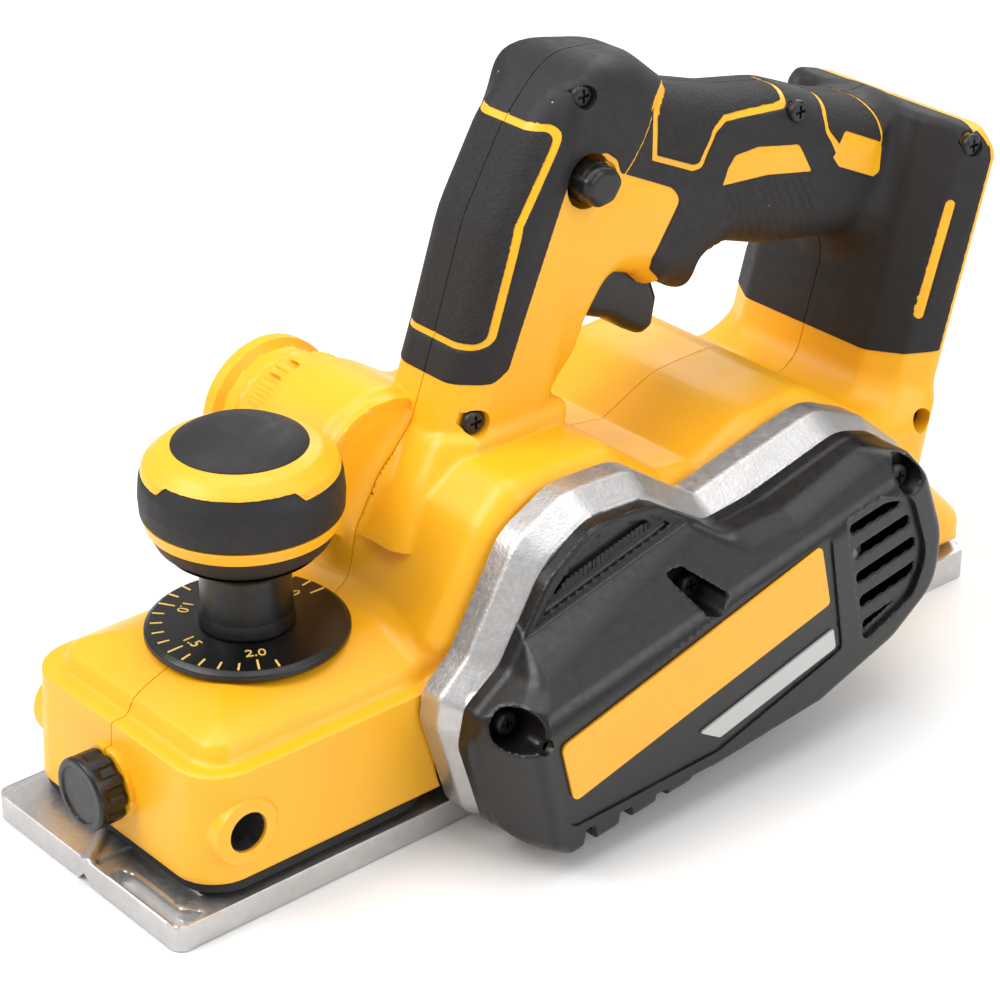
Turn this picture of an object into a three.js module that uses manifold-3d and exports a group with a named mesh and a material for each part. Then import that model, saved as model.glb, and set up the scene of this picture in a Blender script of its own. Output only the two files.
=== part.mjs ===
// A cordless electric hand planer for 82 mm wide cuts, in millimetres.
// +X is the planing direction, +Y the user's left (the belt side), +Z up, and z = 0 is the sole.
import * as THREE from "three";
import { mergeVertices } from "three/addons/utils/BufferGeometryUtils.js";
import Module from "manifold-3d";

const wasm = await Module();
wasm.setup();

// ---------------------------------------------------------------- driving dimensions
const SOLE_WIDTH = 83;
const REAR_END = -84.5; // rear end of the rear sole
const FRONT_END = 210; // front end of the front shoe
const MOUTH_REAR = 84; // the mouth lies between the two soles
const MOUTH_FRONT = 108;
const SOLE_THICK = 9.2;
const SHOE_THICK = 7.5;
const SHOE_LIFT = 2; // greatest cutting depth
const DRUM = { x: 96, z: 24, r: 24, length: 81 }; // r is the cutting circle
const MOTOR = { x: 0, z: 47, r: 24 };
const DIAL = { x: 155, r: 27, low: 54.4, high: 57.8 };
const DUST = { x: 106.5, z: 83, bore: 16, end: -56 };
const FENCE = { x: 187, z: 26.8, bore: 5.6 };
const LOCK = { x: 53, z: 158, r: 7 };
const TRIGGER_PIVOT = { x: 44, z: 121 };
const FLANGE = { low: 41.8, plate: 48, high: 56 }; // the cast belt flange, along y
const PLATE = { r: 33, low: -48.4, high: -41.1, bottom: 12 }; // the right end's bearing plate
const PULLEY = { drum: 10.5, motor: 6, low: 52, high: 66 };
const COVER_FACE = 80; // outer face of the belt cover
const BODY_HALF = 40.8; // half width of the plastic body
const HANDLE_HALF = 17.5;
const BAY = { half: 38.5, lean: -0.293, x: -84.6, z: 128.6 }; // the battery mount's rear plane
const BAY_BOTTOM = 62;
const SEAM_Z = 79.6; // where the yellow base meets the black battery mount

const COVER_SCREWS = [
  { name: "cover_screw_front", x: 122, z: 43, head: 62 },
  { name: "cover_screw_middle", x: 60, z: 61, head: 64 },
  { name: "cover_screw_rear", x: -11, z: 72, head: 62 },
];

const WALL = 3;
const SKIN = 1.8; // thickness of the soft overmould
const GAP = 0.3; // clearance between neighbouring pieces
const BIG = 400;

// Sides of a round solid, and the turn between two points of a rounded corner.
const FINE = 24;
const MEDIUM = 16;
const COARSE = 10;
const STEP_ANGLE = 0.5;

const halfSole = SOLE_WIDTH / 2;

// ---------------------------------------------------------------- materials
const finish = (color, roughness, metalness = 0) => ({ color, roughness, metalness });
const YELLOW = finish(0xfdb515, 0.45);
const BLACK = finish(0x1d1a1b, 0.5);
const SOFT = finish(0x2a2627, 0.8);
const CAST = finish(0xb9b8b6, 0.45, 0.9);
const STEEL = finish(0x8f9194, 0.35, 1);
const COPPER = finish(0xb4683a, 0.4, 0.9);
const RUBBER = finish(0x151515, 0.85);
const CARBIDE = finish(0xc9ccd0, 0.25, 1);

// ---------------------------------------------------------------- solids
// A closed three.js geometry as a manifold-3d solid.
function solid(geometry) {
  const plain = geometry.clone();
  plain.deleteAttribute("normal");
  plain.deleteAttribute("uv");
  const merged = mergeVertices(plain, 1e-4);
  return new wasm.Manifold(
    new wasm.Mesh({
      numProp: 3,
      vertProperties: merged.attributes.position.array,
      triVerts: new Uint32Array(merged.index.array),
    }),
  );
}

const join = (...solids) => solids.reduce((a, b) => a.add(b));
const cut = (base, ...tools) => tools.reduce((a, b) => a.subtract(b), base);

// The inward normal of the edge that leaves each corner of an outline.
function inwardNormals(corners) {
  const twiceArea = corners.reduce((sum, [u, v], i) => {
    const [nextU, nextV] = corners[(i + 1) % corners.length];
    return sum + u * nextV - nextU * v;
  }, 0);
  const side = Math.sign(twiceArea);
  return corners.map(([u, v], i) => {
    const [nextU, nextV] = corners[(i + 1) % corners.length];
    return new THREE.Vector2(v - nextV, nextU - u).normalize().multiplyScalar(side);
  });
}

// An outline's corners [u, v, radius] moved in by `inset`, with the radii of a parallel curve.
function movedIn(corners, inset) {
  const normals = inwardNormals(corners);
  return corners.map(([u, v, radius = 0], i) => {
    const a = normals[(i + corners.length - 1) % corners.length];
    const b = normals[i];
    const [nextU, nextV] = corners[(i + 1) % corners.length];
    const convex = a.x * (nextU - u) + a.y * (nextV - v) > 0;
    const shift = inset / (1 + a.dot(b));
    const parallel = Math.max(radius + (convex ? -inset : inset), 0.2);
    return [u + (a.x + b.x) * shift, v + (a.y + b.y) * shift, radius > 0 ? parallel : 0];
  });
}

// The points of an outline whose corners [u, v, radius] are rounded.
function rounded(corners) {
  return corners.flatMap(([u, v, radius = 0], i) => {
    const here = new THREE.Vector2(u, v);
    if (radius === 0) return [here];
    const before = corners[(i + corners.length - 1) % corners.length];
    const after = corners[(i + 1) % corners.length];
    const a = new THREE.Vector2(before[0], before[1]).sub(here);
    const b = new THREE.Vector2(after[0], after[1]).sub(here);
    const turn = Math.PI - Math.acos(a.dot(b) / (a.length() * b.length()));
    const room = 0.48 * Math.min(a.length(), b.length());
    const reach = Math.min(radius * Math.tan(turn / 2), room);
    const start = here.clone().addScaledVector(a.normalize(), reach);
    const end = here.clone().addScaledVector(b.normalize(), reach);
    const steps = Math.max(1, Math.round(turn / STEP_ANGLE));
    return new THREE.QuadraticBezierCurve(start, here, end).getPoints(steps);
  });
}

// An outline pushed from 0 to `depth`, moved in by `inset`, its two rims rounded by `rim`.
function pushed(corners, depth, fullRim = 0, inset = 0) {
  const rim = Math.max(fullRim - Math.max(inset, 0), 0);
  const steps = rim > 0 ? 2 : 0;
  const layers = [];
  for (let k = 0; k <= steps; k++) {
    const angle = steps > 0 ? (k / steps) * (Math.PI / 2) : 0;
    const back = rim * (1 - Math.sin(angle));
    const level = rim * (1 - Math.cos(angle));
    layers.push({ level, back: steps > 0 ? back : 0 });
  }
  const mirrored = layers.map(({ level, back }) => ({ level: depth - level, back })).reverse();
  const rings = [...layers, ...mirrored].map(({ level, back }) => ({
    level,
    points: rounded(movedIn(corners, inset + back)),
  }));
  const count = rings[0].points.length;
  const positions = rings.flatMap(({ level, points }) => points.flatMap((p) => [p.x, p.y, level]));
  const clockwise = THREE.ShapeUtils.isClockWise(rings[0].points);
  const index = [];
  const face = (a, b, c) => (clockwise ? index.push(a, c, b) : index.push(a, b, c));
  for (let r = 0; r + 1 < rings.length; r++) {
    for (let i = 0; i < count; i++) {
      const j = (i + 1) % count;
      face(r * count + i, r * count + j, (r + 1) * count + j);
      face(r * count + i, (r + 1) * count + j, (r + 1) * count + i);
    }
  }
  const top = (rings.length - 1) * count;
  for (const [ring, base, way] of [
    [rings[0], 0, -1],
    [rings[rings.length - 1], top, 1],
  ]) {
    for (const [a, b, c] of THREE.ShapeUtils.triangulateShape(ring.points, [])) {
      const area = THREE.ShapeUtils.area([ring.points[a], ring.points[b], ring.points[c]]);
      const turned = Math.sign(area) !== way;
      index.push(base + a, base + (turned ? c : b), base + (turned ? b : c));
    }
  }
  const geometry = new THREE.BufferGeometry();
  geometry.setAttribute("position", new THREE.Float32BufferAttribute(positions, 3));
  geometry.setIndex(index);
  return geometry;
}

// Outlines in (x, z) along y, in (x, y) along z, and in (y, z) along x.
function alongY(corners, low, high, rim = 0, inset = 0) {
  const g = pushed(corners, high - low - 2 * inset, rim, inset);
  return solid(g.rotateX(Math.PI / 2).translate(0, high - inset, 0));
}
function alongZ(corners, low, high, rim = 0, inset = 0) {
  const g = pushed(corners, high - low - 2 * inset, rim, inset);
  return solid(g.translate(0, 0, low + inset));
}

const block = (x0, x1, y0, y1, z0, z1) =>
  solid(
    new THREE.BoxGeometry(x1 - x0, y1 - y0, z1 - z0).translate(
      (x0 + x1) / 2,
      (y0 + y1) / 2,
      (z0 + z1) / 2,
    ),
  );

// A solid of revolution: profile [radius, height] about the y axis, its centre line at (x, z).
function spunY(profile, x, z, segments = MEDIUM) {
  const points = profile.map(([r, h]) => new THREE.Vector2(r, h));
  return solid(new THREE.LatheGeometry(points, segments).translate(x, 0, z));
}
// The same about z at (x, y), and about x at (y, z).
function spunZ(profile, x, y, segments = MEDIUM) {
  const points = profile.map(([r, h]) => new THREE.Vector2(r, h));
  return solid(new THREE.LatheGeometry(points, segments).rotateX(Math.PI / 2).translate(x, y, 0));
}
function spunX(profile, y, z, segments = MEDIUM) {
  const points = profile.map(([r, h]) => new THREE.Vector2(r, h));
  return solid(new THREE.LatheGeometry(points, segments).rotateZ(-Math.PI / 2).translate(0, y, z));
}
// A rod's and a ring's profile between two heights.
const rodProfile = (r, low, high) => [
  [0, low],
  [r, low],
  [r, high],
  [0, high],
];
const ringProfile = (inner, outer, low, high) => [
  [inner, low],
  [outer, low],
  [outer, high],
  [inner, high],
  [inner, low],
];

const LEFT = block(-BIG, BIG, 0.15, BIG, -BIG, BIG);
const RIGHT = block(-BIG, BIG, -BIG, -0.15, -BIG, BIG);

const planer = new THREE.Group();

// Puts a solid into the scene as a named mesh.
function piece(name, body, material) {
  const data = body.getMesh();
  const geometry = new THREE.BufferGeometry();
  geometry.setAttribute("position", new THREE.BufferAttribute(data.vertProperties, 3));
  geometry.setIndex(new THREE.BufferAttribute(data.triVerts, 1));
  geometry.computeVertexNormals();
  const mesh = new THREE.Mesh(geometry, new THREE.MeshStandardMaterial(material));
  mesh.name = name;
  planer.add(mesh);
}

// ---------------------------------------------------------------- cast frame and shoe
const FLANGE_OUTLINE = [
  [112, 2, 4],
  [123, 8.5, 8],
  [132, 38, 8],
  [131, 46, 5],
  [121.5, 54.5, 10],
  [105, 83, 16],
  [88, 91.5, 16],
  [66, 90.5, 16],
  [42.5, 74.5, 6],
  [27, 78, 10],
  [-5, 85, 18],
  [-23, 77, 12],
  [-43, 60, 16],
  [-43, 36, 20],
  [-26, 16, 16],
  [20, 7, 8],
  [85, 2, 8],
];

const drumSpace = (r) => spunY(rodProfile(r, -BIG, BIG), DRUM.x, DRUM.z, FINE);

function mainFrame() {
  const sole = alongZ(
    [
      [REAR_END, -halfSole, 4],
      [MOUTH_REAR + 6, -halfSole],
      [MOUTH_REAR + 6, halfSole],
      [REAR_END, halfSole, 4],
    ],
    0,
    SOLE_THICK,
  );
  const flange = join(
    alongY(FLANGE_OUTLINE, FLANGE.low, FLANGE.high),
    block(-30, MOUTH_REAR - 2, halfSole - 2, FLANGE.low + 1, 2.5, SOLE_THICK),
  );
  const beltSpace = alongY(FLANGE_OUTLINE, FLANGE.plate - 4, BIG, 0, 4);
  const rightPlate = cut(
    spunY(
      [
        [0, PLATE.low],
        [PLATE.r - 2, PLATE.low],
        [PLATE.r, PLATE.low + 2],
        [PLATE.r, PLATE.high],
        [0, PLATE.high],
      ],
      DRUM.x,
      DRUM.z,
      FINE,
    ),
    block(-BIG, BIG, -BIG, BIG, -BIG, PLATE.bottom),
  );
  // A hood over the drum ties the right plate to the belt flange and guides the chips up.
  const hood = cut(
    spunY(rodProfile(DRUM.r + 6, PLATE.high - 1, FLANGE.low + 1), DRUM.x, DRUM.z, FINE),
    block(DRUM.x + 4, BIG, -BIG, BIG, -BIG, BIG),
    block(-BIG, BIG, -BIG, BIG, -BIG, SOLE_THICK - 1),
  );
  const bosses = COVER_SCREWS.map(({ x, z }) => {
    const boss = spunY(rodProfile(5.2, FLANGE.low, FLANGE.high), x, z, COARSE);
    return boss.intersect(alongY(FLANGE_OUTLINE, FLANGE.low, FLANGE.high));
  });
  const bores = [
    spunY(rodProfile(13.4, PLATE.low + 1.6, -36), DRUM.x, DRUM.z, MEDIUM),
    spunY(rodProfile(13.4, 38, 60), DRUM.x, DRUM.z, MEDIUM),
    spunY(rodProfile(8.9, 38, 60), MOTOR.x, MOTOR.z, MEDIUM),
  ];
  const inside = spunY(rodProfile(DRUM.r + 2.5, -halfSole, halfSole), DRUM.x, DRUM.z, FINE);
  const soleAndFlange = join(cut(sole, drumSpace(DRUM.r + 1.5)), cut(flange, beltSpace));
  const castings = join(soleAndFlange, rightPlate, hood, ...bosses);
  const holes = COVER_SCREWS.map(({ x, z }) => spunY(rodProfile(2.2, 49, BIG), x, z, COARSE));
  return cut(castings, inside, ...bores, ...holes);
}

function frontShoe() {
  const plate = alongZ(
    [
      [MOUTH_FRONT - 4, -halfSole],
      [FRONT_END, -halfSole, 4],
      [FRONT_END, halfSole, 4],
      [MOUTH_FRONT - 4, halfSole],
    ],
    0,
    SHOE_THICK,
  );
  // A groove along the sole starts a chamfer on an edge.
  const groove = solid(
    new THREE.CylinderGeometry(4.2, 4.2, FRONT_END - MOUTH_FRONT + 30, 4)
      .rotateZ(Math.PI / 2)
      .translate((FRONT_END + MOUTH_FRONT) / 2 + 1, 0, -1.2),
  );
  const nut = alongZ(
    [
      [DIAL.x - 20, -15, 4],
      [DIAL.x + 20, -15, 4],
      [DIAL.x + 20, 15, 4],
      [DIAL.x - 20, 15, 4],
    ],
    SHOE_THICK - 1,
    30,
  );
  const thread = spunZ(rodProfile(5.4, SHOE_THICK + 1.5, BIG), DIAL.x, 0, MEDIUM);
  return cut(join(plate, nut), groove, thread, drumSpace(DRUM.r + 3));
}

// ---------------------------------------------------------------- plastic body
const BODY_OUTLINE = [
  [200.5, 12.5, 2],
  [199, 42, 6],
  [193, 54, 8],
  [122, 54, 10],
  [106, 86, 8],
  [100, 93, 5],
  [60, 91, 8],
  [30, 75, 16],
  [8, 84.5, 18],
  [-14, 84.5, 18],
  [-40, 66, 10],
  [-64, 64],
  [-60, 45, 3],
  [-67, 38, 6],
  [REAR_END, 21, 5],
  [REAR_END, 9.6],
  [112, 9.6],
  [114, 12.5],
];

function bodySolid(inset) {
  const main = alongY(BODY_OUTLINE, -BODY_HALF, BODY_HALF, 7, inset);
  const frontCorners = alongZ(
    [
      [-BIG, -BODY_HALF, 0],
      [200.5, -BODY_HALF, 13],
      [200.5, BODY_HALF, 13],
      [-BIG, BODY_HALF, 0],
    ],
    -BIG,
    BIG,
    0,
    inset,
  );
  const chute = spunY(rodProfile(23 - inset, inset - BODY_HALF, -12), DUST.x, DUST.z, MEDIUM);
  const chuteFoot = alongY(
    [
      [84, 83],
      [129.5, 83],
      [127, 64],
      [122, 50],
      [84, 50],
    ],
    -BODY_HALF,
    inset - 12,
    0,
    inset,
  );
  return join(main.intersect(frontCorners), chute, chuteFoot);
}

// ---------------------------------------------------------------- handle
const rearX = (z) => BAY.x + BAY.lean * (z - BAY.z);

const HANDLE_OUTLINE = [
  [107, 77],
  [101, 93, 10],
  [91.4, 118.7, 20],
  [81, 150, 30],
  [67, 174, 14],
  [52, 192, 16],
  [30, 188.5, 14],
  [16, 173, 6],
  [-8, 166.5, 20],
  [-30, 162.4, 20],
  [-54, 152.3],
  [-70, 148],
  [-70, 100],
  [-52, 110, 6],
  [-23, 115.5, 20],
  [-5, 121.5, 12],
  [4, 119, 5],
  [10, 112, 2],
  [20, 118, 4],
  [27, 119, 2],
  [31, 122.5, 4],
  [42, 126, 8],
  [51, 114, 8],
  [60, 92, 6],
  [56, 76],
];

function handleSolid(inset) {
  const side = alongY(HANDLE_OUTLINE, -HANDLE_HALF, HANDLE_HALF, 5, inset);
  const plan = [
    [-51, -24, 4],
    [-51, 24, 4],
    [-57, 33, 5],
    [-64, BAY.half, 3],
    [-110, BAY.half],
    [-110, -BAY.half],
    [-64, -BAY.half, 3],
    [-57, -33, 5],
  ];
  // The battery mount leans back, so its prism is sheared along x as it rises.
  const prism = pushed(plan, 160 - 50 - 2 * inset, 0, inset).translate(0, 0, 50 + inset);
  const at = prism.attributes.position;
  for (let i = 0; i < at.count; i++) at.setX(i, at.getX(i) + BAY.lean * (at.getZ(i) - SEAM_Z));
  const envelope = alongY(
    [
      [-30, BAY_BOTTOM - 8],
      [-30, 152],
      [-54, 152],
      [rearX(142), 142],
      [rearX(BAY_BOTTOM - 8), BAY_BOTTOM - 8],
    ],
    -BAY.half,
    BAY.half,
    4,
    inset,
  );
  return join(side, solid(prism).intersect(envelope));
}

// Side view of what the soft overmould covers: column surround, cap, grip and battery mount.
const SOFT_REGION = [
  [125, 113],
  [84, 112, 3],
  [62, 156, 4],
  [55, 165.5, 6],
  [45, 165, 5],
  [40, 157],
  [21, 149, 5],
  [20, 141, 4],
  [28, 124],
  [22, 104],
  [-30, 100],
  [-40, SEAM_Z],
  [rearX(SEAM_Z) + 3, SEAM_Z],
  [rearX(139) + 3, 139],
  [-60, 147.5],
  [-60, 175],
  [125, 210],
];

const softRegion = (grow) => alongY(SOFT_REGION, -BIG, BIG, 0, -grow);

// Openings that the moving pieces and the user's pieces need.
function housingCuts() {
  const trigger = alongY(
    [
      [54, 112],
      [52, 126],
      [40, 133],
      [22, 131],
      [15, 116],
      [16, 100],
      [54, 100],
    ],
    -8.6,
    8.6,
  );
  const lock = spunY(rodProfile(LOCK.r + 0.6, -BIG, BIG), LOCK.x, LOCK.z, MEDIUM);
  const rod = spunY(rodProfile(7.6, -BIG, BIG), FENCE.x, FENCE.z, MEDIUM);
  const screw = spunX(rodProfile(3.6, 190, BIG), 0, FENCE.z, COARSE);
  const dust = spunY(rodProfile(DUST.bore, -BIG, -8), DUST.x, DUST.z, MEDIUM);
  const port = spunY(rodProfile(20.4, -BIG, -33), DUST.x, DUST.z, MEDIUM);
  const pin = spunY(rodProfile(1.9, -10, 10), TRIGGER_PIVOT.x, TRIGGER_PIVOT.z, COARSE);
  const shaft = spunY(rodProfile(10, 30, BIG), MOTOR.x, MOTOR.z);
  const nutWell = block(DIAL.x - 23, DIAL.x + 23, -18, 18, 0, 20);
  const spindle = spunZ(rodProfile(5.6, 30, BIG), DIAL.x, 0, MEDIUM);
  const drum = drumSpace(DRUM.r + 6.4);
  const chips = block(DRUM.x, MOUTH_FRONT + 14, -BODY_HALF + WALL, BODY_HALF - WALL, 0, 44);
  return [trigger, pin, lock, rod, screw, shaft, dust, port, nutWell, spindle, drum, chips];
}

// The bay that the battery's rails slide into from above, open to the rear.
function batteryBay() {
  const depth = 12;
  const side = (near, far) => [
    [rearX(50) + far, 50],
    [rearX(170) + far, 170],
    [rearX(170) + near, 170],
    [rearX(50) + near, 50],
  ];
  const floor = block(-BIG, BIG, -BIG, BIG, 66, BIG);
  const deep = alongY(side(-20, depth), -31, 31).intersect(floor);
  const ribs = [-1, 1].map((s) => {
    const from = s < 0 ? -31.5 : 26;
    return alongY(side(0, 5), from, from + 5.5);
  });
  return cut(deep, ...ribs);
}

const SCREWS = [
  { name: "handle_screw_front", x: 54, z: 181, top: 13 },
  { name: "handle_screw_grip", x: -27.5, z: 156.5, top: 13 },
  { name: "column_screw_base", x: 90.5, z: 99.5, top: 13 },
  { name: "mount_screw_top", x: -78.5, z: 139.5, top: 33 },
  { name: "mount_screw_base", x: -59, z: 60.5, top: 34 },
];
const SCREW_HEAD = 3.2;

function screwWell({ x, z, top }) {
  return join(
    spunY(rodProfile(SCREW_HEAD + 0.4, top, BIG), x, z, COARSE),
    spunY(rodProfile(1.9, -12, top + 1), x, z, COARSE),
  );
}
// A boss round each screw's shank gives it plastic to bite in.
const screwBoss = ({ x, z, top }) => spunY(rodProfile(5.2, -13, top + 0.6), x, z, COARSE);

function casing() {
  const body = bodySolid(0);
  const handle = handleSolid(0);
  const softened = softRegion(GAP);
  const core = join(cut(handle, softened), handleSolid(SKIN + GAP));
  const hollow = join(bodySolid(WALL), handleSolid(SKIN + GAP + WALL));
  const outside = join(body, core);
  const bosses = SCREWS.map((place) => screwBoss(place).intersect(outside));
  const shell = join(cut(outside, hollow), ...bosses);
  // A wall behind the battery bay closes the housing off.
  const bayWall = alongY(
    [
      [rearX(60) + 15, 60],
      [rearX(142) + 15, 142],
      [rearX(142) + 12.2, 142],
      [rearX(60) + 12.2, 60],
    ],
    -35,
    35,
  ).intersect(outside);
  const flange = alongY(FLANGE_OUTLINE, FLANGE.low, BIG, 0, -GAP);
  return cut(join(shell, bayWall), flange, batteryBay(), ...housingCuts(), ...SCREWS.map(screwWell));
}

function overmould() {
  const handle = handleSolid(0);
  const skin = cut(handle, handleSolid(SKIN)).intersect(softRegion(0));
  return cut(skin, bodySolid(-GAP), batteryBay(), ...housingCuts(), ...SCREWS.map(screwWell));
}

// The largest body of a cut solid, without the loose slivers that a cut can leave.
function largest(body) {
  const bodies = body.decompose();
  return bodies.reduce((a, b) => (b.volume() > a.volume() ? b : a));
}

// ---------------------------------------------------------------- belt drive
// A belt's outline around both pulleys, standing `grow` off them.
function beltOutline(grow) {
  const dx = DRUM.x - MOTOR.x;
  const dz = DRUM.z - MOTOR.z;
  const length = Math.hypot(dx, dz);
  const heading = Math.atan2(dz, dx);
  const spread = Math.acos((PULLEY.drum - PULLEY.motor) / length);
  const points = [];
  const arc = (centre, radius, from, to) => {
    const steps = 7;
    for (let k = 0; k <= steps; k++) {
      const a = from + ((to - from) * k) / steps;
      points.push([centre.x + radius * Math.cos(a), centre.z + radius * Math.sin(a)]);
    }
  };
  arc(DRUM, PULLEY.drum + grow, heading - spread, heading + spread);
  arc(MOTOR, PULLEY.motor + grow, heading + spread, heading - spread + 2 * Math.PI);
  return points;
}
function pulley(centre, radius, bore) {
  const rim = radius + 1.5;
  const { low, high } = PULLEY;
  return spunY(
    [
      [bore, low],
      [rim, low],
      [rim, low + 0.8],
      [radius, low + 1.2],
      [radius, high - 1.2],
      [rim, high - 0.8],
      [rim, high],
      [bore, high],
      [bore, low],
    ],
    centre.x,
    centre.z,
  );
}

// A ring about the y axis, such as a bearing or a washer.
const ring = (centre, inner, outer, low, high, segments = MEDIUM) =>
  spunY(ringProfile(inner, outer, low, high), centre.x, centre.z, segments);

function hexNut(centre, bore, across, low, high) {
  const nut = spunY(rodProfile(across / Math.sqrt(3), low, high), centre.x, centre.z, 6);
  return cut(nut, spunY(rodProfile(bore, -BIG, BIG), centre.x, centre.z));
}

// ---------------------------------------------------------------- belt cover
const COVER_BASE = [
  [113, 6, 4],
  [123, 9.5, 8],
  [131.2, 36, 8],
  [128, 46, 6],
  [118, 52, 8],
  [104, 78, 14],
  [88, 87, 14],
  [68, 86, 14],
  [47, 70.5, 8],
  [28, 73, 10],
  [-5, 81, 16],
  [-20, 75, 12],
  [-27, 58, 18],
  [-27, 36, 14],
  [-10, 23, 12],
  [20, 18, 8],
];
const COVER_SLAB = [
  [112, 6, 8],
  [124, 11, 9],
  [126, 40, 8],
  [115, 51, 6],
  [10, 77, 20],
  [-16, 74, 16],
  [-24, 55, 20],
  [-24, 36, 14],
  [-8, 25, 14],
];
const COVER_LOW = FLANGE.high + GAP;
const COVER_WALL = 2.2;

function beltCover() {
  const outer = join(
    alongY(COVER_BASE, COVER_LOW, 64, 2),
    alongY(COVER_SLAB, COVER_LOW, COVER_FACE, 4),
  );
  const inner = join(
    alongY(COVER_BASE, COVER_LOW - 20, 64, 2, COVER_WALL),
    alongY(COVER_SLAB, COVER_LOW - 20, COVER_FACE, 4, COVER_WALL),
  );
  const post = ({ x, z }) =>
    spunY(rodProfile(5.5, COVER_LOW, COVER_FACE - 1), x, z, COARSE).intersect(outer);
  const headWell = ({ x, z, head }) => spunY(rodProfile(3.7, head, BIG), x, z, COARSE);
  const shankHole = ({ x, z }) => spunY(rodProfile(2.2, -BIG, BIG), x, z, COARSE);
  // Five slots let the motor's cooling air out of the round rear end.
  const slots = [];
  for (let k = 0; k < 5; k++) {
    const z = 38 + 6 * k;
    slots.push(block(-16, 4, COVER_FACE - 6, BIG, z, z + 3));
  }
  const walls = join(cut(outer, inner), ...COVER_SCREWS.map(post));
  return cut(walls, ...COVER_SCREWS.map(headWell), ...COVER_SCREWS.map(shankHole), ...slots);
}

// ---------------------------------------------------------------- cutter drum
const BLADE = { thick: 1.1, deep: 5.5 };
const DRUM_BODY = DRUM.r - 1.4;

// A box in the drum's own frame, out along +x from its axis, turned to `angle` about y.
function onDrum(angle, r0, r1, t0, t1, half) {
  const g = new THREE.BoxGeometry(r1 - r0, 2 * half, t1 - t0);
  g.translate((r0 + r1) / 2, 0, (t0 + t1) / 2).rotateY(angle).translate(DRUM.x, 0, DRUM.z);
  return solid(g);
}

function drumPieces(angle) {
  const half = DRUM.length / 2;
  const tip = DRUM.r;
  return {
    blade: onDrum(angle, tip - BLADE.deep, tip, -BLADE.thick / 2, BLADE.thick / 2, half - 0.2),
    clamp: onDrum(angle, 12.5, DRUM_BODY - 0.8, -6.5, -BLADE.thick / 2 - GAP, half - 0.2),
    slot: join(
      onDrum(angle, 12.2, DRUM.r + 2, -6.8, -BLADE.thick / 2 - GAP + 0.01, BIG),
      onDrum(angle, tip - BLADE.deep - GAP, DRUM.r + 2, -1, BLADE.thick / 2 + GAP, BIG),
    ),
  };
}

const BLADE_ANGLES = [Math.PI / 4, (5 * Math.PI) / 4];

function buildDrum() {
  const pieces = BLADE_ANGLES.map(drumPieces);
  const half = DRUM.length / 2;
  const body = ring(DRUM, 8, DRUM_BODY, -half, half, FINE);
  piece("cutter_drum", cut(body, ...pieces.map((p) => p.slot)), CAST);
  pieces.forEach(({ blade, clamp }, i) => {
    piece(`blade_${i + 1}`, blade, CARBIDE);
    piece(`blade_clamp_${i + 1}`, clamp, STEEL);
  });
  piece("drum_shaft", spunY(rodProfile(7.7, -46.4, 71.5), DRUM.x, DRUM.z, MEDIUM), STEEL);
  piece("drum_bearing_right", ring(DRUM, 8, 13, -46.5, -41.6), STEEL);
  piece("drum_bearing_left", ring(DRUM, 8, 13, 42.2, 47.6), STEEL);
  piece("drum_pulley", pulley(DRUM, PULLEY.drum, 8), STEEL);
  piece("drum_pulley_nut", hexNut(DRUM, 8, 21, PULLEY.high + GAP, 71), STEEL);
}

// ---------------------------------------------------------------- motor and belt
function fan() {
  const hub = ring(MOTOR, 4.3, 9, -33, -27, MEDIUM);
  const disc = ring(MOTOR, 8, 22, -33, -31.8, MEDIUM);
  const blades = [];
  for (let k = 0; k < 9; k++) {
    const g = new THREE.BoxGeometry(14, 5, 1.4).translate(14.5, -29.5, 0);
    blades.push(solid(g.rotateY((k * 2 * Math.PI) / 9).translate(MOTOR.x, 0, MOTOR.z)));
  }
  return join(hub, disc, ...blades);
}

function stator() {
  const back = ring(MOTOR, 21, MOTOR.r, -22, 20, FINE);
  const teeth = [];
  for (let k = 0; k < 6; k++) {
    const g = new THREE.BoxGeometry(7, 40, 9).translate(18.4, -1, 0);
    teeth.push(solid(g.rotateY((k * Math.PI) / 3).translate(MOTOR.x, 0, MOTOR.z)));
  }
  return join(back, ...teeth);
}

function buildDrive() {
  piece("motor_stator", stator(), COPPER);
  piece("motor_rotor", ring(MOTOR, 4.3, 14, -21, 19, MEDIUM), STEEL);
  piece("motor_shaft", spunY(rodProfile(4, -37.3, 68), MOTOR.x, MOTOR.z, COARSE), STEEL);
  piece("cooling_fan", fan(), BLACK);
  piece("motor_bearing_right", ring(MOTOR, 4.3, 8, -37.2, -33.4, MEDIUM), STEEL);
  piece("motor_bearing_left", ring(MOTOR, 4.3, 8.5, 42.2, 47.6, MEDIUM), STEEL);
  piece("motor_end_bracket", ring(MOTOR, 8.3, 23, -37.5, -34.2, MEDIUM), CAST);
  piece("motor_pulley", pulley(MOTOR, PULLEY.motor, 4.3), STEEL);
  const belt = cut(
    alongY(beltOutline(2), PULLEY.low + 1.6, PULLEY.high - 1.6),
    alongY(beltOutline(GAP), -BIG, BIG),
  );
  piece("drive_belt", belt, RUBBER);
}

// ---------------------------------------------------------------- depth adjuster
const KNOB_PROFILE = [
  [0, 58.1],
  [12.8, 58.1],
  [12.2, 76],
  [18, 79],
  [24, 84.5],
  [26.5, 94],
  [25.6, 101],
  [22.5, 106],
  [17.7, 109.2],
  [9, 112.8],
  [0, 114],
];

const COIL_STEPS = 8; // per turn

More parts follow.
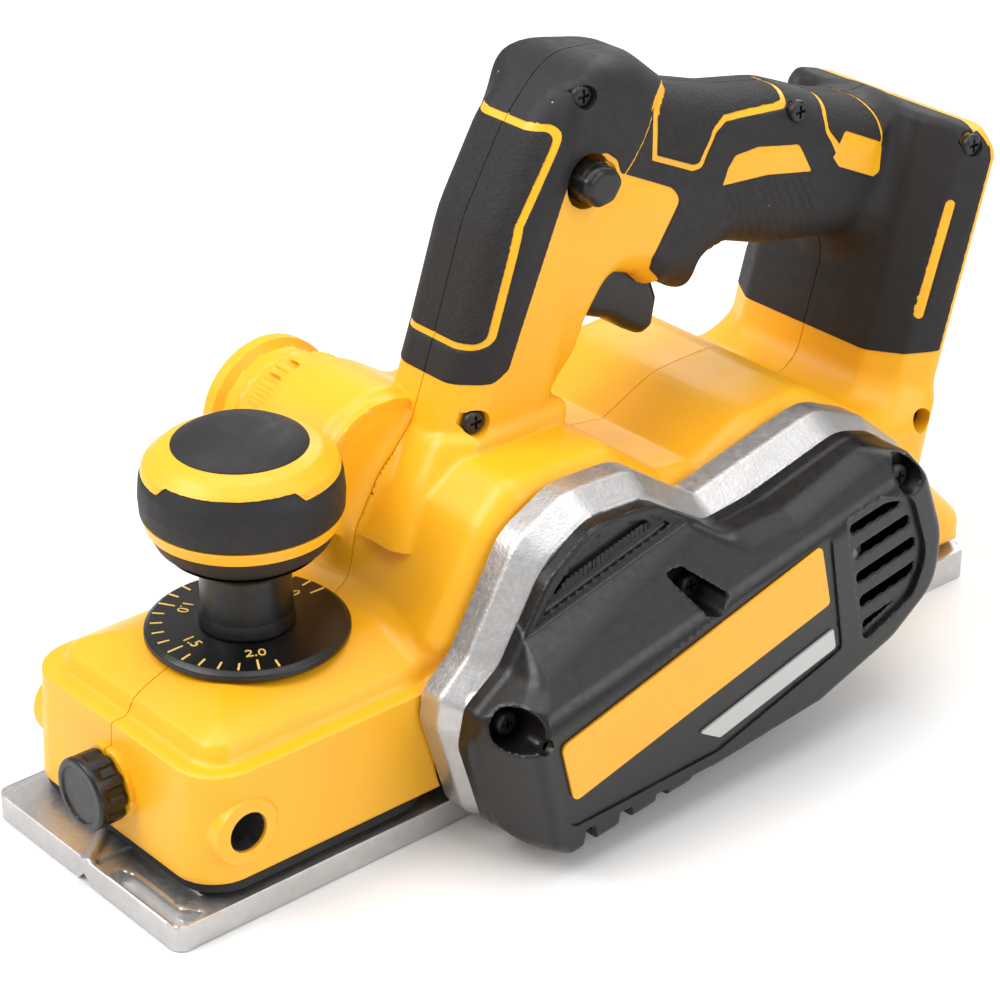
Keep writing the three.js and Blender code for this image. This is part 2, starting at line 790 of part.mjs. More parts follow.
// A round wire wound about z.
function coil(x, y, radius, wire, low, high, turns) {
  const path = new THREE.CatmullRomCurve3(
    Array.from({ length: turns * COIL_STEPS + 1 }, (_, i) => {
      const angle = (i / COIL_STEPS) * 2 * Math.PI;
      const z = low + wire + ((high - low - 2 * wire) * i) / (turns * COIL_STEPS);
      return new THREE.Vector3(x + radius * Math.cos(angle), y + radius * Math.sin(angle), z);
    }),
  );
  const section = new THREE.Shape(
    Array.from({ length: 4 }, (_, i) => {
      const angle = (i * Math.PI) / 2;
      return new THREE.Vector2(wire * Math.cos(angle), wire * Math.sin(angle));
    }),
  );
  return solid(new THREE.ExtrudeGeometry(section, { steps: turns * COIL_STEPS, extrudePath: path }));
}

function buildDepthAdjuster() {
  const knob = spunZ(KNOB_PROFILE, DIAL.x, 0, FINE);
  const boreTop = 100;
  piece("depth_knob", cut(knob, spunZ(rodProfile(5.3, 0, boreTop), DIAL.x, 0, MEDIUM)), SOFT);
  const dial = spunZ(
    [
      [5.3, DIAL.low],
      [DIAL.r, DIAL.low],
      [DIAL.r, DIAL.high - 1],
      [DIAL.r - 1, DIAL.high],
      [5.3, DIAL.high],
      [5.3, DIAL.low],
    ],
    DIAL.x,
    0,
    FINE,
  );
  piece("depth_dial", dial, BLACK);
  piece("depth_spindle", spunZ(rodProfile(5, 12, boreTop - 0.5), DIAL.x, 0, MEDIUM), STEEL);
  piece("shoe_spring", coil(DIAL.x, 0, 8.6, 0.9, 30.4, 50.4, 4), STEEL);
}

// ---------------------------------------------------------------- front box fittings
function buildFrontFittings() {
  const outline = (inset) => [
    [MOUTH_FRONT + 16, -BODY_HALF + inset, 3],
    [200 - inset, -BODY_HALF + inset, 12],
    [200 - inset, BODY_HALF - inset, 12],
    [MOUTH_FRONT + 16, BODY_HALF - inset, 3],
  ];
  const low = SHOE_THICK + SHOE_LIFT + 0.2;
  const gasket = cut(alongZ(outline(0.6), low, 12.2), alongZ(outline(16), 0, 20));
  piece("front_skirt", gasket, RUBBER);
  piece("fence_rod_sleeve", fenceSleeve(), STEEL);
  const flutes = [];
  for (let k = 0; k < 12; k++) {
    const a = (k * Math.PI) / 6;
    const y = 10.4 * Math.cos(a);
    flutes.push(spunX(rodProfile(1.3, 0, BIG), y, FENCE.z + 10.4 * Math.sin(a), COARSE));
  }
  const head = cut(spunX(rodProfile(10, 201.2, 209.8), 0, FENCE.z, FINE), ...flutes);
  const shank = spunX(rodProfile(3, 193.2, 203), 0, FENCE.z, COARSE);
  piece("fence_thumb_screw", join(head, shank), BLACK);
}

function fenceSleeve() {
  const sleeve = ring(FENCE, FENCE.bore, 7.3, -BODY_HALF + 0.5, BODY_HALF - 0.5, MEDIUM);
  return cut(sleeve, spunX(rodProfile(3.3, 190, BIG), 0, FENCE.z, COARSE));
}

// ---------------------------------------------------------------- dust port
function buildDustPort() {
  const { bore, end } = DUST;
  const profile = [
    [bore, end],
    [20.4, end],
    [21, end + 1.2],
    [21, end + 3],
    [18.6, end + 4.5],
    [18.6, end + 14],
    [20, end + 16],
    [20, -33.4],
    [bore, -33.4],
    [bore, end],
  ];
  piece("dust_port", spunY(profile, DUST.x, DUST.z, FINE), YELLOW);
}

// ---------------------------------------------------------------- switch group
const TRIGGER_OUTLINE = [
  [49.5, 117, 2],
  [47, 123.5, 3],
  [40, 128.5, 4],
  [30, 128, 4],
  [20.5, 121, 3],
  [16.8, 111, 3],
  [18.5, 102.5, 3],
  [24, 100.6, 4],
  [34, 108.2, 12],
  [42, 112, 10],
];

function buildSwitchGroup() {
  const trigger = alongY(TRIGGER_OUTLINE, -8.2, 8.2, 2);
  const pin = spunY(rodProfile(1.9, -BIG, BIG), TRIGGER_PIVOT.x, TRIGGER_PIVOT.z, COARSE);
  piece("trigger", cut(trigger, pin), BLACK);
  piece("trigger_pin", spunY(rodProfile(1.6, -9.5, 9.5), TRIGGER_PIVOT.x, TRIGGER_PIVOT.z, COARSE), STEEL);
  piece("power_switch", block(22, 42, -9, 9, 136, 148), BLACK);
  const button = join(
    spunY(rodProfile(LOCK.r - 1.5, -20, 20), LOCK.x, LOCK.z, MEDIUM),
    spunY(rodProfile(LOCK.r, 15.5, 24.5), LOCK.x, LOCK.z, MEDIUM),
    spunY(rodProfile(LOCK.r, -24.5, -15.5), LOCK.x, LOCK.z, MEDIUM),
  );
  piece("lock_off_button", button, BLACK);
}

// ---------------------------------------------------------------- battery mount and electronics
function buildElectronics() {
  const plate = (from, to, low, high) => [
    [rearX(low) + from, low],
    [rearX(high) + from, high],
    [rearX(high) + to, high],
    [rearX(low) + to, low],
  ];
  piece("terminal_block", alongY(plate(4, 11.6, 74, 118), -17, 17), BLACK);
  [-12, -4, 4, 12].forEach((y, i) => {
    piece(`terminal_${i + 1}`, alongY(plate(-1, 3.7, 80, 108), y - 0.4, y + 0.4), STEEL);
  });
  const board = [
    [68, 118],
    [80, 123],
    [71, 146],
    [59, 141],
  ];
  piece("motor_controller", alongY(board, -10, 10), BLACK);
}

// ---------------------------------------------------------------- cover label and screws
function buildLabel() {
  const label = [
    [116, 40],
    [24, 64.5],
    [19.5, 45.5],
    [111.5, 22.3],
  ];
  piece("label_plate", alongY(label, COVER_FACE + 0.2, COVER_FACE + 1), YELLOW);
}

// A pan-head screw along y, its head at the left end.
const screw = (x, z, low, head, shankR, headR) =>
  join(
    spunY(rodProfile(shankR, low, head), x, z, COARSE),
    spunY(rodProfile(headR, head - 0.5, head + 2.2), x, z, COARSE),
  );

function buildScrews() {
  SCREWS.forEach(({ name, x, z, top }) => {
    piece(name, screw(x, z, -9, top + 0.9, 1.6, SCREW_HEAD), STEEL);
  });
  COVER_SCREWS.forEach(({ name, x, z, head }) => {
    piece(name, screw(x, z, FLANGE.high - 4, head + 0.9, 1.9, 3.3), STEEL);
  });
}

// ---------------------------------------------------------------- build
piece("main_frame", mainFrame(), CAST);
piece("front_shoe", frontShoe(), CAST);

const shell = casing();
const soft = overmould();
piece("housing_left", largest(shell.intersect(LEFT)), YELLOW);
piece("housing_right", largest(shell.intersect(RIGHT)), YELLOW);
piece("handle_overmould_left", largest(soft.intersect(LEFT)), SOFT);
piece("handle_overmould_right", largest(soft.intersect(RIGHT)), SOFT);

piece("belt_cover", beltCover(), BLACK);
buildDrum();
buildDrive();
buildDepthAdjuster();
buildFrontFittings();
buildDustPort();
buildSwitchGroup();
buildElectronics();
buildLabel();
buildScrews();

export default planer;
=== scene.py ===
"""The looks of a cordless electric hand planer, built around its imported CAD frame.

Shapes are worked out in millimetres as signed distances, turned into meshes, and scaled to metres.
+X is the planing direction, +Y the user's left (belt side), +Z up, and z = 0 is the sole.
"""

import math

import bmesh
import bpy
import numpy as np
from mathutils import Matrix, Vector


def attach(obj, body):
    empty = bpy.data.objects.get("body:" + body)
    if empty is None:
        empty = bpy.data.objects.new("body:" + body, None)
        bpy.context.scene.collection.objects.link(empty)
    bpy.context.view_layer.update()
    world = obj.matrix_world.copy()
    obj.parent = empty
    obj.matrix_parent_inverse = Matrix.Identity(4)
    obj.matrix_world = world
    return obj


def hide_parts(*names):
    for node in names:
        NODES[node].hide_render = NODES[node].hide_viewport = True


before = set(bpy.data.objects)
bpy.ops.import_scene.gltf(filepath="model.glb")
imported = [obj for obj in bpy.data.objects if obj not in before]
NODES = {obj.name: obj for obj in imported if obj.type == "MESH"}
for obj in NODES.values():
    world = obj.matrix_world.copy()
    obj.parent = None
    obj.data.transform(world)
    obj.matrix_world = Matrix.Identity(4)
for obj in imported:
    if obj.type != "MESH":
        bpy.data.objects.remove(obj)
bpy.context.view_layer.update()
MM = 0.001

# ---------------------------------------------------------------- driving dimensions (mm)
SOLE_HALF = 41.5
REAR_END = -84.5
FRONT_END = 210.0
MOUTH_REAR, MOUTH_FRONT = 84.0, 108.0
SOLE_THICK, SHOE_THICK = 9.2, 7.5
BODY_HALF = 40.8
HANDLE_HALF = 17.5
DRUM_X, DRUM_Z, DRUM_R = 96.0, 24.0, 24.0
DIAL_X, DIAL_R = 155.0, 27.0
DUST_X, DUST_Z, DUST_BORE = 106.5, 83.0, 16.0
FENCE_X, FENCE_Z, FENCE_BORE = 187.0, 26.8, 5.6
LOCK_X, LOCK_Z, LOCK_R = 53.0, 158.0, 7.0
BAY_LEAN, BAY_X, BAY_Z, BAY_HALF = -0.293, -84.6, 128.6, 38.5
SEAM_Z = 79.6
SEAM_GAP = 0.12  # half of the gap between the two housing halves
PROUD = 0.3  # how far the soft skin stands over the yellow housing
BOX_FRONT, BOX_FOOT, BOX_LEDGE, BOX_TOP = 200.5, 12.5, 44.2, 54.3
MOTOR_Z = 47.0
MOUNT_TOP, MOUNT_SLOPE = 142.0, 0.29
BAY_HALF_WIDTH, BAY_DEPTH = 31.0, 12.0
PIN_X, PIN_Z = 44.0, 121.0  # the trigger's pivot
WELL_R, LINED_WELL_R = 3.6, 3.1
DIAGONAL = 0.7071  # turns the sum of two distances into the distance to a 45 degree slope
STEEP = 0.96  # does the same for the battery mount's lean


def rear_x(z):
    """The battery mount's leaning rear plane."""
    return BAY_X + BAY_LEAN * (z - BAY_Z)


def above_mount(x, z):
    """The height over the battery mount's sloping top."""
    return (z - MOUNT_TOP - (x - rear_x(MOUNT_TOP)) * MOUNT_SLOPE) * STEEP


# ---------------------------------------------------------------- signed distances
def rounded(corners, turn_step=0.15):
    """The points of a closed outline whose corners (u, v, radius) are rounded by arcs.

    A corner without a radius stays sharp, so an open path's two ends are given none.
    """
    points = []
    count = len(corners)
    for i, corner in enumerate(corners):
        here = np.array(corner[:2], float)
        radius = corner[2] if len(corner) > 2 else 0.0
        if radius == 0:
            points.append(here)
            continue
        a = np.array(corners[i - 1][:2], float) - here
        b = np.array(corners[(i + 1) % count][:2], float) - here
        room = 0.48 * min(np.linalg.norm(a), np.linalg.norm(b))
        a /= np.linalg.norm(a)
        b /= np.linalg.norm(b)
        turn = math.pi - math.acos(np.clip(a @ b, -1, 1))
        reach = min(radius * math.tan(turn / 2), room)
        start, end = here + a * reach, here + b * reach
        steps = max(2, round(turn / turn_step))
        for t in np.linspace(0, 1, steps + 1):
            points.append((1 - t) ** 2 * start + 2 * t * (1 - t) * here + t * t * end)
    return np.array(points)


def polygon_distance(u, v, points, closed=True):
    """Distance to a line of points; a closed one's is signed, below zero inside."""
    best = np.full(np.broadcast(u, v).shape, 1e9, np.float32)
    inside = np.zeros(best.shape, bool)
    ends = np.roll(points, -1, axis=0)
    count = len(points) if closed else len(points) - 1
    for (u0, v0), (u1, v1) in zip(points[:count], ends[:count]):
        du, dv = u1 - u0, v1 - v0
        length2 = du * du + dv * dv
        if length2 < 1e-12:
            continue
        t = np.clip(((u - u0) * du + (v - v0) * dv) / length2, 0, 1)
        best = np.minimum(best, (u - u0 - t * du) ** 2 + (v - v0 - t * dv) ** 2)
        if closed and v0 != v1:
            crosses = (v0 > v) != (v1 > v)
            inside ^= crosses & (u < u0 + (v - v0) * du / dv)
    return np.where(inside, -1, 1) * np.sqrt(best)


class Outline:
    """Distance to an outline of corners (u, v, radius), signed if closed, read from a fine table."""

    STEP = 0.5
    MARGIN = 14.0

    def __init__(self, corners, closed=True):
        points = rounded(corners)
        self.low = points.min(0) - self.MARGIN
        counts = np.ceil((points.max(0) + self.MARGIN - self.low) / self.STEP).astype(int) + 1
        u = self.low[0] + self.STEP * np.arange(counts[0])
        v = self.low[1] + self.STEP * np.arange(counts[1])
        self.table = polygon_distance(u[:, None], v[None, :], points, closed).astype(np.float32)

    def __call__(self, u, v):
        s = np.clip((u - self.low[0]) / self.STEP, 0, self.table.shape[0] - 1.001)
        t = np.clip((v - self.low[1]) / self.STEP, 0, self.table.shape[1] - 1.001)
        i, j = s.astype(np.int32), t.astype(np.int32)
        s, t = (s - i).astype(np.float32), (t - j).astype(np.float32)
        near = self.table[i, j] * (1 - t) + self.table[i, j + 1] * t
        far = self.table[i + 1, j] * (1 - t) + self.table[i + 1, j + 1] * t
        return near * (1 - s) + far * s


def both(a, b, r=0.0):
    """What is in both shapes, the outside edge rounded by r."""
    if np.isscalar(r) and r == 0:
        return np.maximum(a, b)
    corner = np.sqrt(np.maximum(a + r, 0) ** 2 + np.maximum(b + r, 0) ** 2)
    return np.minimum(np.maximum(a, b), -r) + corner


def either(a, b, r=0.0):
    """What is in one shape or the other, the inside edge filleted by r."""
    if np.isscalar(r) and r == 0:
        return np.minimum(a, b)
    corner = np.sqrt(np.maximum(r - a, 0) ** 2 + np.maximum(r - b, 0) ** 2)
    return np.maximum(np.minimum(a, b), r) - corner


def without(a, b, r=0.0):
    """The first shape less the second, the edge rounded by r."""
    return both(a, -b, r)


def least(shapes):
    """The union of a list of shapes, their corners left sharp."""
    result = shapes[0]
    for shape in shapes[1:]:
        result = np.minimum(result, shape)
    return result


def between(v, low, high):
    """A slab's signed distance."""
    return np.abs(v - (low + high) / 2) - (high - low) / 2


def rod(u, v, cu, cv, radius):
    """An endless round rod's signed distance, seen along its axis."""
    return np.hypot(u - cu, v - cv) - radius


def rectangle(u, v, u0, u1, v0, v1, radius):
    """A rectangle with rounded corners."""
    a = np.abs(u - (u0 + u1) / 2) - (u1 - u0) / 2 + radius
    b = np.abs(v - (v0 + v1) / 2) - (v1 - v0) / 2 + radius
    return np.hypot(np.maximum(a, 0), np.maximum(b, 0)) + np.minimum(np.maximum(a, b), 0) - radius


def ease(v):
    """Goes smoothly from 0 to 1 as v does."""
    v = np.clip(v, 0, 1)
    return v * v * (3 - 2 * v)


# ---------------------------------------------------------------- meshes from distances
CORNERS = [(i, j, k) for i in (0, 1) for j in (0, 1) for k in (0, 1)]


def gradient(distance, p, reach=0.05):
    """The distance and its unit gradient at points p."""
    here = distance(p[:, 0], p[:, 1], p[:, 2])
    slopes = []
    for axis in range(3):
        q = p.copy()
        q[:, axis] += reach
        slopes.append(distance(q[:, 0], q[:, 1], q[:, 2]) - here)
    g = np.stack(slopes, axis=1) / reach
    size = np.maximum(np.linalg.norm(g, axis=1, keepdims=True), 0.3)
    return here, g / size, size[:, 0]


def skinned(distance, low, high, step):
    """Vertices (mm) and quads on the surface where distance(x, y, z) is zero, its edges kept sharp."""
    low, high = np.array(low, float), np.array(high, float)
    counts = np.ceil((high - low) / step).astype(int) + 1
    x, y, z = (low[a] + step * np.arange(counts[a]) for a in range(3))
    values = np.empty(tuple(counts), np.float32)
    values[...] = distance(x[:, None, None], y[None, :, None], z[None, None, :])
    inside = values < 0
    mixed = np.zeros(counts - 1, np.int8)
    for i, j, k in CORNERS:
        mixed += inside[i : i + counts[0] - 1, j : j + counts[1] - 1, k : k + counts[2] - 1]
    cells = np.argwhere((mixed > 0) & (mixed < 8))
    number = np.full(counts - 1, -1, np.int64)
    number[tuple(cells.T)] = np.arange(len(cells))
    quads, rings, crossings = [], [], []
    for axis in range(3):
        u, v = (axis + 1) % 3, (axis + 2) % 3
        first = [slice(None)] * 3
        second = [slice(None)] * 3
        first[axis], second[axis] = slice(0, -1), slice(1, None)
        a, b = values[tuple(first)], values[tuple(second)]
        where = np.argwhere((a < 0) != (b < 0))
        where = where[(where[:, u] > 0) & (where[:, v] > 0)]
        where = where[(where[:, u] < counts[u] - 1) & (where[:, v] < counts[v] - 1)]
        ring = []
        for du, dv in ((-1, -1), (0, -1), (0, 0), (-1, 0)):
            at = where.copy()
            at[:, u] += du
            at[:, v] += dv
            ring.append(number[tuple(at.T)])
        ring = np.stack(ring, axis=1)
        va, vb = a[tuple(where.T)], b[tuple(where.T)]
        crossing = where.astype(float)
        crossing[:, axis] += va / (va - vb)
        crossings.append(low + step * crossing)
        rings.append(ring)
        quads.append(np.where((va < 0)[:, None], ring, ring[:, ::-1]))
    points = np.concatenate(crossings)
    here, normal, size = gradient(distance, points)
    points -= normal * np.clip(here / size, -0.5 * step, 0.5 * step)[:, None]
    return settled(points, normal, np.concatenate(rings), len(cells), step), np.concatenate(quads)


STIFFNESS = 0.04  # how strongly a vertex keeps to the middle of its cell's crossings


def settled(points, normal, ring, count, step):
    """Each cell's vertex, where the tangent planes at its crossings meet."""
    cell = ring.ravel()
    owner = np.repeat(np.arange(len(points)), 4)

    def total(weights):
        return np.bincount(cell, weights[owner], minlength=count)

    number = np.maximum(np.bincount(cell, minlength=count), 1)
    middle = np.stack([total(points[:, a]) for a in range(3)], axis=1) / number[:, None]
    level = np.einsum("ij,ij->i", points, normal)
    matrix = np.zeros((count, 3, 3))
    right = np.zeros((count, 3))
    for a in range(3):
        right[:, a] = total(normal[:, a] * level)
        for b in range(a, 3):
            matrix[:, a, b] = matrix[:, b, a] = total(normal[:, a] * normal[:, b])
    right -= np.einsum("nij,nj->ni", matrix, middle)
    matrix += (STIFFNESS * number)[:, None, None] * np.eye(3)
    move = np.linalg.solve(matrix, right[:, :, None])[:, :, 0]
    reach = np.linalg.norm(move, axis=1, keepdims=True)
    return middle + move * np.minimum(1, 0.8 * step / np.maximum(reach, 1e-9))


def linked(name, data):
    """A new object of that data, in the scene."""
    obj = bpy.data.objects.new(name, data)
    bpy.context.scene.collection.objects.link(obj)
    return obj


def mesh_object(name, vertices, faces):
    """A smooth mesh object from vertices in mm and quads."""
    mesh = bpy.data.meshes.new(name)
    sides = faces.shape[1]
    mesh.vertices.add(len(vertices))
    mesh.vertices.foreach_set("co", (np.asarray(vertices) * MM).astype(np.float32).ravel())
    mesh.loops.add(faces.size)
    mesh.loops.foreach_set("vertex_index", faces.astype(np.int32).ravel())
    mesh.polygons.add(len(faces))
    mesh.polygons.foreach_set("loop_start", np.arange(0, faces.size, sides, dtype=np.int32))
    mesh.polygons.foreach_set("loop_total", np.full(len(faces), sides, np.int32))
    mesh.update(calc_edges=True)
    mesh.validate()
    obj = linked(name, mesh)
    soften(obj)
    return obj


def soften(obj, degrees=38):
    """Smooth shading, with edges over that angle kept sharp."""
    obj.data.shade_smooth()
    obj.data.set_sharp_from_angle(angle=math.radians(degrees))


def sculpted(name, distance, low, high, step):
    """An object of the solid where distance is below zero."""
    vertices, quads = skinned(distance, low, high, step)
    return mesh_object(name, vertices, quads)


SEAM_MARGIN = 1.0  # how far a half's grid reaches past the middle


def sculpted_half(name, distance, low, high, step, side):
    """One side's part of a solid, up to the gap at the seam."""
    low, high = list(low), list(high)
    if side > 0:
        low[1] = -SEAM_MARGIN
    else:
        high[1] = SEAM_MARGIN

    def half(x, y, z):
        return np.maximum(distance(x, y, z), SEAM_GAP - side * y)

    return sculpted(name, half, low, high, step)


# ---------------------------------------------------------------- the plastic body's form
BODY_SIDE = Outline(
    [
        (119, 9.8), (124, 54, 6), (107.5, 83, 14), (97, 92.5, 8), (62, 91.5, 12), (43, 77, 3),
        (30, 75, 3), (11, 83.6, 24), (-14, 84.5, 20), (-40, 66.5, 12), (-64, 64, 0), (-60, 45, 4),
        (-67, 38, 8), (REAR_END + 0.2, 20.5, 6), (REAR_END + 0.2, 9.8),
    ]
)
HANDLE_SIDE = Outline(
    [
        (107, 77), (100.3, 94.5, 10), (91.4, 118.7, 40), (81, 150, 40), (67.5, 173, 26),
        (52.5, 188.2, 18), (31, 186.2, 18), (15.5, 173.5, 6), (-8, 166.3, 26), (-30, 162.2, 26),
        (-54, 152.3), (-70, 148), (-70, 100), (-52, 110.5, 10), (-23, 115.5, 20), (-5, 121.5, 12),
        (4, 119.5, 6), (10.5, 111.5, 2), (20, 118, 6), (26, 118.2, 3), (31, 123, 5), (43, 128, 8),
        (52, 118, 12), (61, 92, 6), (56, 76),
    ]
)
MOUNT_PLAN = Outline(
    [
        (-51, -24, 5), (-51, 24, 5), (-57.5, 34, 6), (-66, BAY_HALF, 5), (-112, BAY_HALF),
        (-112, -BAY_HALF), (-66, -BAY_HALF, 5), (-57.5, -34, 6),
    ]
)
COLLAR_PLAN = Outline(
    [
        (60, -19.5, 5), (96, -20.6, 6), (104.5, -13, 6), (104.5, 13, 6), (96, 20.6, 6),
        (60, 19.5, 5),
    ]
)


def front_box(x, y, z):
    """The box under the depth dial: a lower part, and a shouldered upper part set in a little."""
    step = 1.4
    leaning = x + 0.06 * (z - BOX_FOOT)
    lower = rectangle(leaning, y, 70, BOX_FRONT, -BODY_HALF, BODY_HALF, 13)
    lower = both(lower, between(z, BOX_FOOT, BOX_LEDGE), 1.2)
    upper = rectangle(leaning, y, 70, BOX_FRONT - 1.5, step - BODY_HALF, BODY_HALF - step, 12)
    shoulder = (upper + z - BOX_TOP) * DIAGONAL + 7.4
    upper = both(both(upper, between(z, 20, BOX_TOP), 3), shoulder, 9)
    return either(lower, upper, 1.2)


def central_body(x, y, z):
    """The body over drum and motor, with the round chute for the dust port on its right."""
    main = both(BODY_SIDE(x, z), np.abs(y) - BODY_HALF, 8)
    chute = both(rod(x, z, DUST_X, DUST_Z, 22.5), between(y, -BODY_HALF + 4, -2), 7)
    lip = both(rod(x, z, DUST_X, DUST_Z, 21.2), between(y, -BODY_HALF + 0.2, -2), 0.8)
    return either(either(main, chute, 11), lip, 0.6)


def battery_mount(x, y, z):
    """The leaning, faceted mount that the battery slides on to."""
    upright = MOUNT_PLAN(x - BAY_LEAN * (z - SEAM_Z), y)
    rear = (rear_x(z) - x) * STEEP
    top = above_mount(x, z)
    shoulder = (np.abs(y) - 31) * 0.625 + top * 0.781
    form = both(both(upright, both(top, shoulder, 2), 2.5), rear, 2.2)
    return both(form, 36 - z)


def handle(x, y, z):
    """Column, head and grip: chamfered in front, rounder towards the grip."""
    side = HANDLE_SIDE(x, z)
    half = np.abs(y) - HANDLE_HALF
    to_rear = ease((60 - x) / 34)
    low_edge = ease((150 - z) / 14) * ease((x - 8) / 12)
    radius = 3.0 + (11.5 - 5.0 * low_edge) * to_rear
    form = both(side, half, radius)
    front = ease((x - 50) / 12)
    chamfer = (side + half) * DIAGONAL + 5.3 * front
    form = np.where(front > 0, both(form, chamfer, 2.0) * front + form * (1 - front), form)
    behind_head = 15 + 16 * (y / HANDLE_HALF) ** 2 + 0.028 * np.maximum(175 - z, 0) ** 2 - x
    step = ease(behind_head / 0.9 + 0.5) * ease((z - 144) / 12)
    return form + 1.3 * step


def column_collar(x, y, z):
    """The column's flared foot."""
    flare = COLLAR_PLAN(x + 0.45 * (z - 90), y) + 0.25 * (z - 90)
    return both(both(flare, z - 97.5, 3.5), 70 - z)


def planer_form(x, y, z):
    """The whole moulded body and handle, without its openings."""
    body = either(front_box(x, y, z), central_body(x, y, z), 5)
    mount = battery_mount(x, y, z)
    hand = handle(x, y, z)
    collar = column_collar(x, y, z)
    return least(
        [
            either(body, mount, 9),
            either(mount, hand, 9),
            either(hand, collar, 1.0),
            either(body, either(hand, collar, 1.0), 0.8),
        ]
    )


# ---------------------------------------------------------------- openings, housing halves
TRIGGER_WELL = Outline(
    [
        (54, 112), (52, 126), (40, 133), (22, 131), (15, 116), (16, 100), (54, 100),
    ]
)
LOCK_RECESS = Outline(
    [
        (59.5, 152.5, 3), (59.6, 158.5, 4), (55, 162.5, 3), (47, 162.6, 4), (42.4, 158.5, 3),
        (48, 150.5, 4),
    ]
)
SCREWS = {
    "handle_screw_front": (54, 181, 13),
    "handle_screw_grip": (-27.5, 156.5, 13),
    "column_screw_base": (90.5, 99.5, 13),
    "mount_screw_top": (-78.5, 139.5, 33),
    "mount_screw_base": (-59, 60.5, 34),
}
WALL = 3.0


def battery_bay(x, y, z):
    """The bay that the battery's rails slide down into, with a rib left along each side."""
    rear = x - rear_x(z)
    bay = both(both(rear - BAY_DEPTH, np.abs(y) - BAY_HALF_WIDTH, 1), 66 - z)
    bay = both(bay, above_mount(x, z) + 4)
    rib = both(both(rear - 5, 26 - np.abs(y), 0.6), -rear - 0.4)
    return without(bay, rib)


def screw_wells(x, y, z, radius=WELL_R):
    """The round wells of the screws that hold the halves together, all from the left."""
    wells = []
    for cx, cz, floor in SCREWS.values():
        wells.append(both(rod(x, z, cx, cz, radius), floor - y))
        wells.append(both(rod(x, z, cx, cz, 1.9), np.abs(y - floor / 2) - floor / 2 - 10))
    return least(wells)


def well_linings(x, y, z):
    """Black sleeves round the screw wells in the handle."""
    lined = [SCREWS[name] for name in ("handle_screw_front", "handle_screw_grip", "mount_screw_top")]
    return least([both(rod(x, z, cx, cz, 5.0), floor - y) for cx, cz, floor in lined])


def housing_openings(x, y, z, well_radius=WELL_R):
    """Everything that is cut from the moulded body."""
    far = np.abs(y)
    cuts = [
        both(TRIGGER_WELL(x, z), far - 8.6),
        rod(x, z, LOCK_X, LOCK_Z, LOCK_R + 0.6) + 0 * y,
        both(rod(x, z, FENCE_X, FENCE_Z, 7.6), far - 40.5),
        rod(x, z, FENCE_X, FENCE_Z, FENCE_BORE) + 0 * y,
        both(np.hypot(y, z - FENCE_Z) - 3.6, 190 - x),
        both(rod(x, z, DUST_X, DUST_Z, DUST_BORE), y + 8),
        both(rod(x, z, DUST_X, DUST_Z, 20.4), y + 33),
        both(rod(x, z, 0, MOTOR_Z, 10), 30 - y),
        both(both(np.abs(x - DIAL_X) - 23, far - 18), z - 20),
        both(np.hypot(x - DIAL_X, y) - 5.6, 30 - z),
        rod(x, z, DRUM_X, DRUM_Z, DRUM_R + 6.4) + 0 * y,
        both(both(between(x, 96, 122), far - 37.8), z - 44),
        battery_bay(x, y, z),
        screw_wells(x, y, z, well_radius),
    ]
    return least(cuts)


def trimmed_form(x, y, z):
    """The moulded form with its raised rings and the lock-off's recess."""
    form = planer_form(x, y, z)
    fence_ring = both(rod(x, z, FENCE_X, FENCE_Z, 9.4), np.abs(y) - BODY_HALF - 0.7, 0.7)
    form = either(form, both(fence_ring, 30 - np.abs(y)), 0.3)
    screw_ring = both(both(np.hypot(y, z - FENCE_Z) - 10.6, x - 201.0, 0.5), 188 - x)
    form = either(form, screw_ring, 0.4)
    recess = both(LOCK_RECESS(x, z), 16.1 - np.abs(y))
    return without(form, recess, 0.4)


def housing(x, y, z):
    """The moulded body as if it were solid."""
    return np.maximum(trimmed_form(x, y, z), -housing_openings(x, y, z))


def cavity(x, y, z):
    """The room inside the housing: the form less its wall, and a wall round each opening."""
    return np.maximum(planer_form(x, y, z) + WALL, WALL - 0.6 - housing_openings(x, y, z))


FORM_LOW = (-92, -42, 8)
FORM_HIGH = (203, 42, 193)


def housing_shell(x, y, z):
    """The moulded body with its cavity."""
    return np.maximum(housing(x, y, z), -cavity(x, y, z))


def build_housing():
    """The two yellow halves, hollow, and meeting at a fine gap."""
    for side, name in ((1, "left"), (-1, "right")):
        half = sculpted_half("yellow_housing_" + name, housing_shell, FORM_LOW, FORM_HIGH, 1.0, side)
        finish(half, "planer_body", "yellow_plastic", "housing_" + name)


# ---------------------------------------------------------------- soft overmould and pads
SOFT_SIDE = Outline(
    [
        (140, 109.8), (86, 109.8, 2.5), (80.6, 112.3, 3), (76.3, 122.5), (60.8, 158, 4),
        (56.4, 163.8, 4), (47.2, 164.6, 4), (43, 161.2, 2), (41.7, 157.2, 2), (22.3, 147.8, 5),
        (19.4, 143.8, 4), (29.2, 129.5, 3), (28.6, 125.5, 3), (22.5, 119, 2), (18, 108), (-30, 95),
        (-44, SEAM_Z + 0.3), (-140, SEAM_Z + 0.3), (-140, 215), (140, 215),
    ]
)
UPPER_STRIP = [
    (32, 159.3),
    (14.4, 151.2, 2),
    (11.4, 151.2, 2),
    (5.7, 159.4, 4),
    (0.5, 161.2, 3),
    (-24.7, 158.3, 3),
    (-28, 161.5, 2),
    (-28, 178),
]
REAR_STRIP = [(-50, 166), (-44, 155.5, 3), (-39.6, 151.5, 2), (-38.3, 148.3, 3), (-43, 139.5)]
UPPER_STRIP_LINE = Outline(UPPER_STRIP, closed=False)
REAR_STRIP_LINE = Outline(REAR_STRIP, closed=False)
